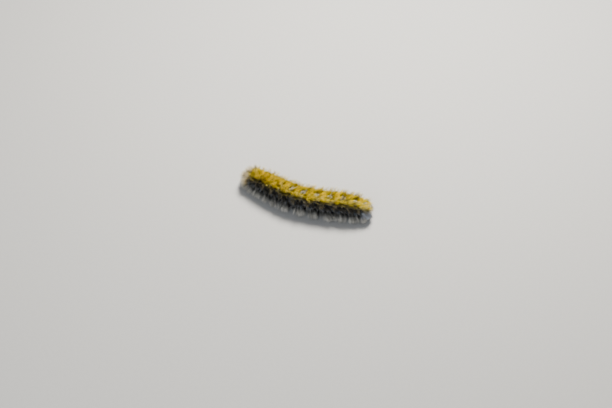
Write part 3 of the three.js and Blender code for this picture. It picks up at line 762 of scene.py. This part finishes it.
# %% Legs and claws
LEG_RADIUS = 0.42
LEG_PATH = [(1.00, 1.75, 0.05, 0.30), (1.00, 1.60, 0.05, 1.02), (1.18, 1.22, 0.08, 0.95),
            (1.20, 1.18, 0.09, 0.72), (1.25, 1.10, 0.10, 0.93), (1.29, 0.90, 0.14, 0.90),
            (1.30, 0.86, 0.15, 0.62), (1.30, 0.80, 0.16, 0.82), (1.26, 0.50, 0.26, 0.66),
            (1.25, 0.47, 0.27, 0.42), (1.23, 0.40, 0.29, 0.56), (1.16, 0.14, 0.36, 0.34)]
CLAW = [(1.16, 0.16, 0.36, 0.24), (1.13, 0.10, 0.44, 0.20), (1.06, 0.06, 0.50, 0.14),
        (0.98, 0.035, 0.50, 0.05)]


def limb_points(s, side, table):
    """Points of a limb from rows of (out, height, ahead, share of the leg's radius)."""
    centre, back, across, _ = frame_at(s)
    out, height, ahead, share = np.array(table).T
    points = centre + np.multiply.outer(side * out, across) - np.multiply.outer(ahead, back)
    points[:, 2] = height
    return points, share * LEG_RADIUS


for name in NAMES[:3]:
    for side, side_name in ((-1, "left"), (1, "right")):
        s = MIDDLES[NAMES.index(name)]
        shaft = taper(*limb_points(s, side, LEG_PATH), 16, 90)
        claw = taper(*limb_points(s, side, CLAW), 8, 18)
        make_piece(f"leg_{name}_{side_name}_horn", *merged([shaft, claw]), LEG_HORN, "leg",
                   replaces=[f"leg_{name}_{side_name}"])

# %% [markdown]
# Each fleshy proleg grips with a row of tiny hooks on the inner edge of its foot, and each ring
# breathes through an oval hole with a dark rim on its side. Both are too fine for the skin's
# grid, so they are separate horn pieces, set on the skin where it was measured.

# %% Gripping hooks and breathing holes
HOOKS_PER_FOOT = 18
hooks = []
for s, offset, radius in proleg_places():
    centre, back, across, _ = frame_at(s)
    inwards = -math.copysign(1.0, offset)
    for turn in np.radians(np.linspace(-75, 75, HOOKS_PER_FOOT)):
        arm = across * inwards * math.cos(turn) + back * math.sin(turn)
        foot = centre + across * offset + arm * radius * 0.80
        foot[2] = 0.16
        tip = np.stack([foot, foot + arm * 0.10 - [0, 0, 0.07], foot + arm * 0.09 - [0, 0, 0.14]])
        hooks.append(taper(tip, [0.045, 0.035, 0.008], 5, 6))
make_piece("foot_hooks", *merged(hooks), JAW_HORN, "proleg")

HOLE_ANGLE, HOLE_HALF, HOLE_RIM = 82, (0.13, 0.24), 0.045
holes = []
for name in ["thorax_1", *NAMES[3:11]]:
    s = np.array(MIDDLES[NAMES.index(name)] - 0.30 * SEGMENTS[name])
    for side in (-1, 1):
        angle = np.array(side * math.radians(HOLE_ANGLE))
        _, back, across, up = frame_at(s)
        out = across * np.sin(angle) + up * np.cos(angle)
        high = np.cross(out, back) * side
        seat = body_point(s, angle, skin_radius(s) + 0.02)
        turn = np.arange(21) / 20 * 2 * math.pi
        path = (seat + np.multiply.outer(np.cos(turn) * HOLE_HALF[0], back)
                + np.multiply.outer(np.sin(turn) * HOLE_HALF[1], high))
        rim_right = np.repeat(out[None], 21, 0)
        tangent = np.gradient(path, axis=0)
        tangent /= np.linalg.norm(tangent, axis=1, keepdims=True)
        rim_front = np.cross(tangent, rim_right)
        rim = loft(path[:-1], rim_right[:-1], rim_front[:-1], np.full(20, HOLE_RIM), 8)
        faces = grid_faces(21, 8)
        holes.append((rim, faces % (20 * 8)))
make_piece("breathing_holes", *merged(holes), LEG_HORN, "coat")

# %% [markdown]
# ## Hair, strand by strand
# Blender has its own hair, but those curves are lost when a model is exported as meshes. So every
# hair is a thin three-sided solid that tapers to a point: 13 points and 22 triangles. One formula
# bends them all, root + length (t direction + t squared bend), and a bundle of hairs is a few
# arrays, so that fifty thousand of them take a few seconds.

# %% One strand as a template
RING_T = np.array([0.0, 0.30, 0.62, 0.86])
RING_WIDTH = np.array([0.8, 1.0, 0.8, 0.5])
STRAND_SIDES = 3
TIP = len(RING_T) * STRAND_SIDES
FLOOR_MARGIN = 0.04
PATCH = 0.003


def strand_template():
    """The triangles of one strand, and for each of their corners t and how far round it is."""
    triangles, corner_t, corner_turn = [], [], []
    for ring in range(len(RING_T) - 1):
        for k in range(STRAND_SIDES):
            a, b = ring * STRAND_SIDES + k, ring * STRAND_SIDES + (k + 1) % STRAND_SIDES
            c, d = b + STRAND_SIDES, a + STRAND_SIDES
            low, high = RING_T[ring], RING_T[ring + 1]
            triangles += [[a, b, c], [a, c, d]]
            corner_t += [[low, low, high], [low, high, high]]
            corner_turn += [[k, k + 1, k + 1], [k, k + 1, k]]
    for k in range(STRAND_SIDES):
        a, b = TIP - STRAND_SIDES + k, TIP - STRAND_SIDES + (k + 1) % STRAND_SIDES
        triangles.append([a, b, TIP])
        corner_t.append([RING_T[-1], RING_T[-1], 1.0])
        corner_turn.append([k, k + 1, k + 0.5])
    triangles.append([2, 1, 0])
    corner_t.append([0.0, 0.0, 0.02])
    corner_turn.append([2, 1, 0])
    return np.array(triangles), np.array(corner_t), np.array(corner_turn) / STRAND_SIDES


STRAND_FACES, CORNER_T, CORNER_TURN = strand_template()


def strands(roots, directions, bends, lengths, radii):
    """Points of many strands: at each t of the template the middle is root + length (t direction +
    t squared bend), with three points round it. Nothing goes lower than just above the floor."""
    spare = np.where(np.abs(directions[:, 2:]) < 0.8, [[0, 0, 1.0]], [[1.0, 0, 0]])
    right = np.cross(directions, spare)
    right /= np.linalg.norm(right, axis=1, keepdims=True)
    front = np.cross(directions, right)
    t = np.append(RING_T, 1.0)[None, :, None]
    curve = directions[:, None] * t + bends[:, None] * t**2
    middle = roots[:, None] + lengths[:, None, None] * curve
    turn = np.arange(STRAND_SIDES) / STRAND_SIDES * 2 * math.pi
    rim = (right[:, None, :] * np.cos(turn)[None, :, None]
           + front[:, None, :] * np.sin(turn)[None, :, None])
    widths = radii[:, None, None, None] * RING_WIDTH[None, :, None, None]
    rings = middle[:, :-1, None] + rim[:, None] * widths
    points = np.concatenate([rings.reshape(len(roots), TIP, 3), middle[:, -1:]], axis=1)
    points[..., 2] = np.maximum(points[..., 2], FLOOR_MARGIN)
    return points


def make_hair(name, points, s, angle, tuft, rank, chance, material):
    """One object from many strands, with three maps: Body holds the place of the root, Strand the
    way along it and a chance number, and OFBake lays each tuft on a small patch at its root's
    place on an unwrap of the body, length by angle."""
    count = len(points)
    faces = (STRAND_FACES[None] + np.arange(count)[:, None, None] * (TIP + 1)).reshape(-1, 3)
    shape = (count, *CORNER_T.shape)
    root_map = np.broadcast_to(body_map(s, angle)[:, None, None], (*shape, 2))
    strand_map = np.stack([np.broadcast_to(CORNER_T, shape),
                           np.broadcast_to(chance[:, None, None], shape)], -1)
    first = np.unique(tuft, return_index=True)
    tuft_start = first[1][np.searchsorted(first[0], tuft)]
    across = (rank[:, None, None] + CORNER_TURN) - 0.5
    bake_u = (s[tuft_start] + 2) / (BODY_LENGTH + 4)
    bake_v = angle[tuft_start] / (2 * math.pi) * 0.98 + 0.5
    bake_map = np.stack([bake_u[:, None, None] + PATCH * (CORNER_T - 0.5) * np.ones(shape),
                         bake_v[:, None, None] + PATCH * across], -1)
    uvs = {BAKE_MAP: bake_map.reshape(-1, 2), BODY_MAP: root_map.reshape(-1, 2),
           STRAND_MAP: strand_map.reshape(-1, 2)}
    make_piece(name, points.reshape(-1, 3), faces, material, "coat", uvs)


# %% [markdown]
# ## The lie of the coat
# Hair on a larva grows in tufts and leans one way: back towards the tail over most of the body,
# forward round the neck, and well back at the rear. The lean is the same function that the solid
# locks follow, and each tuft and each hair in it strays a little from it.

# %% Lean, tufts and groups of hair
BACK_LEAN, SIDE_LEAN, LEAN_BLEND = 26.0, 8.0, (50.0, 95.0)
FRONT_LEAN, FRONT_LEAN_LENGTH = -50.0, 9.0
REAR_LEAN, REAR_LEAN_START = 34.0, 34.0
ROOT_SINK = 0.12


def lean_at(s, angle):
    """Degrees that the hair leans to the tail: more on the back than on the side, pulled forward
    over the first rings and further back over the last ones."""
    front = np.clip(1 - s / FRONT_LEAN_LENGTH, 0, 1)
    rear = np.clip((s - REAR_LEAN_START) / (BODY_LENGTH - REAR_LEAN_START), 0, 1)
    flank = smooth((np.degrees(np.abs(angle)) - LEAN_BLEND[0]) / (LEAN_BLEND[1] - LEAN_BLEND[0]))
    rest = BACK_LEAN + (SIDE_LEAN - BACK_LEAN) * flank
    return rest * (1 - front) + FRONT_LEAN * front**1.5 + REAR_LEAN * rear**1.5


def in_tufts(rng, tuft_s, tuft_angle, per_tuft, spread):
    """Roots of hairs scattered round each tuft's own root: a normal scatter of the given size in
    millimetres, turned into s and angle. Returns s, angle, the tuft's number and the rank in it."""
    tuft = np.repeat(np.arange(len(tuft_s)), per_tuft)
    rank = np.tile(np.arange(per_tuft), len(tuft_s)) / per_tuft
    s = tuft_s[tuft] + rng.normal(0, spread, len(tuft))
    angle = tuft_angle[tuft] + rng.normal(0, spread, len(tuft)) / radius_at(tuft_s[tuft])
    return np.clip(s, 0.05, BODY_LENGTH - 0.05), angle, tuft, rank


def spot_cover(s, angle):
    """1 on the black spots in the middle of a ring, half of that on the white dash between them,
    0 away from them, and fading out towards the thorax."""
    share = segment_of(s)[1]
    degrees = np.degrees(np.abs(angle))
    along = smooth((share - 0.14) / 0.10) * smooth((0.84 - share) / 0.10)
    dash = smooth((DASH_HALF + 1 - degrees) / 2) * smooth((share - 0.30) / 0.06)
    near_spots = smooth((SPOT_TO + 4 - degrees) / 6) * smooth((s - EDGES[3]) / 6)
    return along * (1 - 0.5 * dash) * near_spots


def chances(rng, tuft):
    """A number from 0 to 1 for each hair, mostly its tuft's, so that tufts differ in brightness."""
    return 0.7 * rng.uniform(0, 1, tuft.max() + 1)[tuft] + 0.3 * rng.uniform(0, 1, len(tuft))


def strays(rng, amount, tuft):
    """A normal scatter for each tuft plus half as much for each hair in it."""
    whole, own = rng.normal(0, amount, tuft.max() + 1), rng.normal(0, amount * 0.5, len(tuft))
    return whole[tuft] + own


def body_hair(rng, s, angle, tuft, lean, kind):
    """Hairs from roots on the skin. The direction is the outward one turned by lean to the tail and
    by a small tilt round the body, and the bend adds sweep to the tail and droop to the floor.
    Hairs of a tuft share most of their stray, and the kind's gather share draws their tips
    together."""
    tufts = tuft.max() + 1
    _, back, side, up = frame_at(s)
    points_to = angle if kind["falls"] is None else np.sign(angle) * math.radians(kind["falls"])
    normal = side * np.sin(points_to)[:, None] + up * np.cos(points_to)[:, None]
    around = np.cross(back, normal)
    lean = np.radians(lean + strays(rng, kind["stray"], tuft))
    tilt = np.radians(strays(rng, kind["stray"], tuft))
    tilted = normal * np.cos(tilt)[:, None] + around * np.sin(tilt)[:, None]
    direction = tilted * np.cos(lean)[:, None] + back * np.sin(lean)[:, None]
    bend = back * kind["sweep"] - up * kind["droop"] + rng.normal(0, kind["curl"], (len(s), 3))
    short, long = kind["length"]
    length = short + (long - short) * rng.beta(2.0, 1.6, len(s))
    shorter_at_ends = 0.70 + 0.30 * radius_at(s) / BODY_RADIUS
    length *= shorter_at_ends * (1 - kind["spot_trim"] * spot_cover(s, angle))
    roots = body_point(s, angle, skin_radius(s) - ROOT_SINK)
    tips = roots + length[:, None] * (direction + bend)
    weight = np.bincount(tuft, minlength=tufts)[:, None]
    mean_tip = np.stack([np.bincount(tuft, tips[:, k], tufts) for k in range(3)], -1) / weight
    bend += kind["gather"] * (mean_tip[tuft] - tips) / length[:, None]
    return strands(roots, direction, bend, length, rng.uniform(*kind["radius"], len(s)))


def kind_of(length, radius=(0.026, 0.034), stray=7.0, sweep=0.16, droop=0.05, curl=0.035,
            gather=0.35, spot_trim=0.0, falls=None):
    """What sets one sort of hair apart: its length and radius as ranges in millimetres, its stray
    in degrees, and its bends and trim as shares of its length. gather is how much of the way its
    tip is drawn to its tuft's mean tip. falls is the angle that it points to, whatever its root's
    own angle is."""
    return {"length": length, "radius": radius, "stray": stray, "sweep": sweep, "droop": droop,
            "curl": curl, "gather": gather, "spot_trim": spot_trim, "falls": falls}


# %% [markdown]
# The coat has layers. Short golden fur covers the back, with some longer golden hair standing out
# of it. Along both shoulders of the back the longest hair fades to cream and catches the light at
# the outline, and a shorter dark fur covers the flanks. From the wart on each side of every ring
# but the last a fan of long grey hair droops towards the floor, with a dark gap to the next.

# %% Back, flanks and fans
BACK_FUR = kind_of((1.4, 2.8), stray=8.0, spot_trim=0.66, gather=0.5)
LONG_HAIR = kind_of((2.8, 3.7), radius=(0.015, 0.021), stray=8.0, sweep=0.14, droop=0.04,
                    gather=0.4, spot_trim=0.4)
RIDGE_HAIR = kind_of((3.0, 4.4), radius=(0.014, 0.020), stray=9.0, sweep=0.12, droop=0.03,
                     gather=0.4)
FLANK_FUR = kind_of((1.2, 2.2), stray=8.0, sweep=0.08, droop=0.22, gather=0.5)
FAN_HAIR = kind_of((2.3, 4.1), radius=(0.020, 0.028), stray=7.0, sweep=0.04, droop=0.12,
                   curl=0.04, gather=0.5, falls=130)
LOW_HAIR = kind_of((1.2, 2.3), stray=12.0, sweep=0.05, droop=0.15)
COLLAR_HAIR = kind_of((1.6, 3.9), radius=(0.012, 0.018), stray=17.0, sweep=-0.10, droop=0.10,
                      curl=0.07, gather=0.5)
TAIL_HAIR = kind_of((1.5, 2.7), radius=(0.018, 0.026), stray=11.0, sweep=0.12, droop=0.26,
                    curl=0.05)
PER_TUFT, TUFT_SPREAD = 12, 0.17

GOLD_HAIR_LOOK = hair_material("gold_hair", None, (1.0, 0.82, 0.003), 0.3, 0.05)
LONG_HAIR_LOOK = hair_material("long_hair", None, (1.0, 0.88, 0.42), 0.7, 0.3, 0.55)
CREAM_HAIR_LOOK = hair_material("cream_hair", (0.74, 0.60, 0.33), (0.96, 0.90, 0.70), 0.8, 0.30)
FLANK_HAIR_LOOK = hair_material("flank_hair", None, (0.56, 0.50, 0.40), 0.3, 0.20)
LOW_HAIR_LOOK = hair_material("low_hair", (0.03, 0.03, 0.03), (0.22, 0.21, 0.20), 0.7, 0.3)
# Painted light in the fans: the near-black base is partly the hairs' own colour and partly painted
# shade, and the pale tips, which fade in from early on, are partly the hairs' own colour and partly
# a painted glow of light from behind.
GREY_HAIR_LOOK = hair_material("grey_hair", (0.05, 0.048, 0.047), (0.88, 0.86, 0.80),
                               0.9, 0.25, 0.2)
RUMP_HAIR_LOOK = hair_material("rump_hair", None, (0.92, 0.84, 0.62), 0.7, 0.35)
TAIL_HAIR_LOOK = hair_material("tail_hair", (0.24, 0.28, 0.36), (0.80, 0.83, 0.90), 0.85, 0.40)


def scattered(rng, count, s_range, degrees_range, both_sides=True):
    """Tuft roots spread evenly over a stretch of the body and a range of angles."""
    steps = (np.arange(count) + rng.uniform(0, 1, count)) / count
    s = s_range[0] + (s_range[1] - s_range[0]) * steps
    angle = np.radians(rng.uniform(*degrees_range, count))
    if both_sides:
        angle *= rng.choice([-1.0, 1.0], count)
    return s, angle


def grow_over(name, seed, tufts, s_range, degrees_range, kind, look, both_sides=True):
    """One piece of coat that follows the lie of the body."""
    rng = np.random.default_rng(seed)
    tuft_s, tuft_angle = scattered(rng, tufts, s_range, degrees_range, both_sides)
    s, angle, tuft, rank = in_tufts(rng, tuft_s, tuft_angle, PER_TUFT, TUFT_SPREAD)
    points = body_hair(rng, s, angle, tuft, lean_at(s, angle), kind)
    make_hair(name, points, s, angle, tuft, rank, chances(rng, tuft), look)


COAT_END = BODY_LENGTH - 1.2
HALF_WAY = 21.0
grow_over("back_fur_front", 1, 740, (1.2, HALF_WAY), (-48, 48), BACK_FUR, GOLD_HAIR_LOOK, False)
grow_over("back_fur_rear", 2, 740, (HALF_WAY, COAT_END), (-48, 48), BACK_FUR, GOLD_HAIR_LOOK, False)
grow_over("long_back_hair", 3, 200, (2.0, COAT_END), (-30, 30), LONG_HAIR, GOLD_HAIR_LOOK, False)
grow_over("long_ridge_hair", 11, 300, (1.6, COAT_END), (20, 37), RIDGE_HAIR, LONG_HAIR_LOOK)
grow_over("flank_fur", 4, 740, (1.2, COAT_END), (46, 88), FLANK_FUR, FLANK_HAIR_LOOK)
grow_over("low_hair", 5, 260, (1.5, COAT_END), (106, 136), LOW_HAIR, LOW_HAIR_LOOK)


FAN_SHARE, FAN_DEGREES, FAN_SPREAD, FAN_LEAN = (0.5, 0.10), (97, 7), 0.16, 75


def grow_fans(name, seed, per_side, names):
    """The side fans: each ring's tufts sit in a flat oval about its side wart, and lean further
    forward the further ahead of the ring's middle they are, and further back behind it."""
    rng = np.random.default_rng(seed)
    tuft_s, tuft_angle, fan_lean = [], [], []
    for ring in names:
        place = NAMES.index(ring)
        for sign in (-1, 1):
            share = np.clip(rng.normal(*FAN_SHARE, per_side), 0.2, 0.8)
            tuft_s.append(EDGES[place] + share * LENGTHS[place])
            tuft_angle.append(sign * np.radians(rng.normal(*FAN_DEGREES, per_side)))
            fan_lean.append((share - FAN_SHARE[0]) * FAN_LEAN)
    tuft_s, tuft_angle, fan_lean = (np.concatenate(x) for x in (tuft_s, tuft_angle, fan_lean))
    s, angle, tuft, rank = in_tufts(rng, tuft_s, tuft_angle, PER_TUFT, FAN_SPREAD)
    points = body_hair(rng, s, angle, tuft, lean_at(s, angle) + fan_lean[tuft], FAN_HAIR)
    make_hair(name, points, s, angle, tuft, rank, chances(rng, tuft), GREY_HAIR_LOOK)


grow_fans("side_fans", 6, 31, NAMES[:12])

# %% [markdown]
# The first ring throws its hair forward in a loose collar that half hides the head, and the last
# one spreads it backwards and down. Both are whole rings of tufts with a lean of their own.

# %% Collar and tail
def grow_ring(name, seed, tufts, s_range, degrees_range, lean, kind, look):
    """One piece of coat with a lean of its own, that goes from lean[0] at its front to lean[1] at
    its rear."""
    rng = np.random.default_rng(seed)
    tuft_s, tuft_angle = scattered(rng, tufts, s_range, degrees_range, False)
    s, angle, tuft, rank = in_tufts(rng, tuft_s, tuft_angle, PER_TUFT, TUFT_SPREAD)
    share = (tuft_s[tuft] - s_range[0]) / (s_range[1] - s_range[0])
    points = body_hair(rng, s, angle, tuft, lean[0] + (lean[1] - lean[0]) * share, kind)
    make_hair(name, points, s, angle, tuft, rank, chances(rng, tuft), look)


grow_ring("collar", 7, 120, (0.25, 1.9), (-100, 100), (-54, -16), COLLAR_HAIR, CREAM_HAIR_LOOK)
TAIL_RINGS = (BODY_LENGTH - 2.2, BODY_LENGTH - 0.25)
grow_ring("rump_hair", 8, 170, TAIL_RINGS, (-64, 64), (36, 62), TAIL_HAIR, RUMP_HAIR_LOOK)
for seed, name, degrees in ((9, "tail_hair_left", (-118, -58)), (10, "tail_hair_right", (58, 118))):
    grow_ring(name, seed, 90, TAIL_RINGS, degrees, (30, 58), TAIL_HAIR, TAIL_HAIR_LOOK)

# %% [markdown]
# The horn has hair too: short, pale and thin on the head, where it stands forward, and a few
# stiff bristles on each leg. These are the smallest tufts of the whole coat, of three hairs each.

# %% Hair of the head and legs
SMALL_TUFT = 3
HEAD_TUFTS, BRISTLE_TUFTS = 330, 26
EYE_CLEARANCE = 0.25
BRISTLE_LOOK = hair_material("bristle", (0.10, 0.08, 0.06), (0.46, 0.40, 0.30), 0.6, 0.6)


def small_tufts(count):
    """The number of the tuft and the rank in it for each hair of so many small tufts."""
    rank = np.tile(np.arange(SMALL_TUFT), count) / SMALL_TUFT
    return np.repeat(np.arange(count), SMALL_TUFT), rank


def grow_on_head(name, seed):
    """Hairs on the capsule, evenly spread over the sphere it comes from: direction = outward + a
    forward share + chance. Tufts whose root is on a simple eye are left out."""
    rng = np.random.default_rng(seed)
    latitude = np.arcsin(rng.uniform(-0.70, 0.97, HEAD_TUFTS))
    longitude = np.radians(rng.uniform(-120, 120, HEAD_TUFTS))
    middles = np.array([points.mean(axis=0) for points, _ in eyes])
    away = capsule_point(latitude, longitude)[:, None] - middles[None]
    clear = np.linalg.norm(away, axis=-1).min(axis=1) > EYE_CLEARANCE
    latitude, longitude = latitude[clear], longitude[clear]
    tuft, rank = small_tufts(len(latitude))
    latitude = latitude[tuft] + rng.normal(0, 0.03, len(tuft))
    longitude = longitude[tuft] + rng.normal(0, 0.03, len(tuft))
    seats = capsule_point(latitude, longitude)
    out = seats - head_centre
    out /= np.linalg.norm(out, axis=1, keepdims=True)
    direction = out + FORWARD * 0.35 + rng.normal(0, 0.14, out.shape)
    direction /= np.linalg.norm(direction, axis=1, keepdims=True)
    bend = np.tile([0.0, 0.0, -0.12], (len(out), 1)) + FORWARD * 0.10
    lengths, radii = rng.uniform(0.5, 1.3, len(out)), rng.uniform(0.009, 0.013, len(out))
    points = strands(seats - out * 0.06, direction, bend, lengths, radii)
    where = np.full(len(out), HEAD_S)
    make_hair(name, points, where, longitude, tuft, rank, chances(rng, tuft), CREAM_HAIR_LOOK)


def grow_on_legs(name, seed):
    """Bristles round each leg: a place along the leg's path, a turn round it, and a direction that
    points out and a little down."""
    rng = np.random.default_rng(seed)
    table = np.array(LEG_PATH)
    all_points, all_s, all_angles = [], [], []
    for ring in NAMES[:3]:
        for side in (-1, 1):
            tuft, _ = small_tufts(BRISTLE_TUFTS)
            tuft_row = rng.uniform(2.0, len(table) - 1.5, BRISTLE_TUFTS)
            row = tuft_row[tuft] + rng.uniform(0, 0.2, len(tuft))
            places = np.stack([np.interp(row, np.arange(len(table)), column)
                               for column in table.T], -1)
            s = MIDDLES[NAMES.index(ring)]
            middle, radius = limb_points(s, side, places)
            _, back, across, up = frame_at(s)
            tuft_turn = rng.uniform(0, 2 * math.pi, BRISTLE_TUFTS)
            turn = tuft_turn[tuft] + rng.normal(0, 0.2, len(tuft))
            arm = np.multiply.outer(np.cos(turn), across) + np.multiply.outer(np.sin(turn), back)
            direction = arm - up * 0.45 + rng.normal(0, 0.10, arm.shape)
            direction /= np.linalg.norm(direction, axis=1, keepdims=True)
            lengths = rng.uniform(0.22, 0.5, len(tuft))
            radii = rng.uniform(0.007, 0.010, len(tuft))
            roots = middle + arm * (radius * 0.9)[:, None]
            droop = -0.1 * np.tile(up, (len(tuft), 1))
            all_points.append(strands(roots, direction, droop, lengths, radii))
            all_s.append(np.full(len(tuft), s))
            all_angles.append(side * (1.9 + 0.06 * row))
    points, s, angle = (np.concatenate(x) for x in (all_points, all_s, all_angles))
    tuft, rank = small_tufts(len(s) // SMALL_TUFT)
    make_hair(name, points, s, angle, tuft, rank, chances(rng, tuft), BRISTLE_LOOK)


grow_on_head("head_hair", 12)
grow_on_legs("leg_bristles", 13)

# %% [markdown]
# ## Floor, light and camera
# A plain pale floor and soft light keep the eye on the animal. In the photograph the light comes
# from behind and above, so the fringe of hair glows and the near side lies in shade. A broad key
# light from behind follows that, but the pale floor and the weaker fill from the front make the
# shade much lighter than it is there, and the fringe stands out less.

# %% Studio
FLOOR_HALF = 400.0
floor_points = np.array([[-1, -1, 0], [1, -1, 0], [1, 1, 0], [-1, 1, 0]]) * FLOOR_HALF
floor_look = Nodes("pale_floor")
speckle = floor_look.noise(floor_look.object_place(), 900.0, 3.0)
floor_look.feed(floor_look.shader.inputs["Base Color"],
                floor_look.mix(speckle, (0.47, 0.47, 0.465), (0.51, 0.51, 0.505)))
floor_look.shader.inputs["Roughness"].default_value = 0.85
floor_mesh = bpy.data.meshes.new("floor")
floor_mesh.from_pydata((floor_points * MM).tolist(), [], [[0, 1, 2, 3]])
floor_mesh.materials.append(floor_look.material)
floor = bpy.data.objects.new("floor", floor_mesh)
bpy.context.scene.collection.objects.link(floor)

world = bpy.data.worlds.new("studio")
world.use_nodes = True
world.node_tree.nodes["Background"].inputs["Color"].default_value = (0.92, 0.95, 1.0, 1.0)
world.node_tree.nodes["Background"].inputs["Strength"].default_value = 0.22
bpy.context.scene.world = world


def area_light(name, place_mm, target_mm, size_mm, watts, colour):
    """A square soft light at a place, turned to face a target."""
    data = bpy.data.lights.new(name, "AREA")
    data.size, data.energy, data.color = size_mm * MM, watts, colour
    light = bpy.data.objects.new(name, data)
    place, target = np.array(place_mm) * MM, np.array(target_mm) * MM
    light.location = place
    light.rotation_euler = Vector(target - place).to_track_quat("-Z", "Y").to_euler()
    bpy.context.scene.collection.objects.link(light)


area_light("key", (60, 160, 260), (0, 0, 0), 80, 3.0, (1.0, 0.95, 0.86))
area_light("fill", (-120, -260, 200), (0, 0, 0), 200, 0.45, (0.9, 0.95, 1.0))

CAMERA_ELEVATION = math.radians(45)
CAMERA_DISTANCE, CAMERA_TARGET = 600.0, np.array([0.4, -6.15, 3.95])
FOCAL_LENGTH, SENSOR = 107.0, 36.0
camera_data = bpy.data.cameras.new("camera")
camera_data.lens, camera_data.sensor_width = FOCAL_LENGTH, SENSOR
camera_data.clip_start, camera_data.clip_end = 0.01, 10.0
camera = bpy.data.objects.new("camera", camera_data)
toward = np.array([0.0, -math.cos(CAMERA_ELEVATION), math.sin(CAMERA_ELEVATION)])
camera.location = (CAMERA_TARGET + toward * CAMERA_DISTANCE) * MM
camera.rotation_euler = (math.pi / 2 - CAMERA_ELEVATION, 0.0, 0.0)
bpy.context.scene.collection.objects.link(camera)
bpy.context.scene.camera = camera
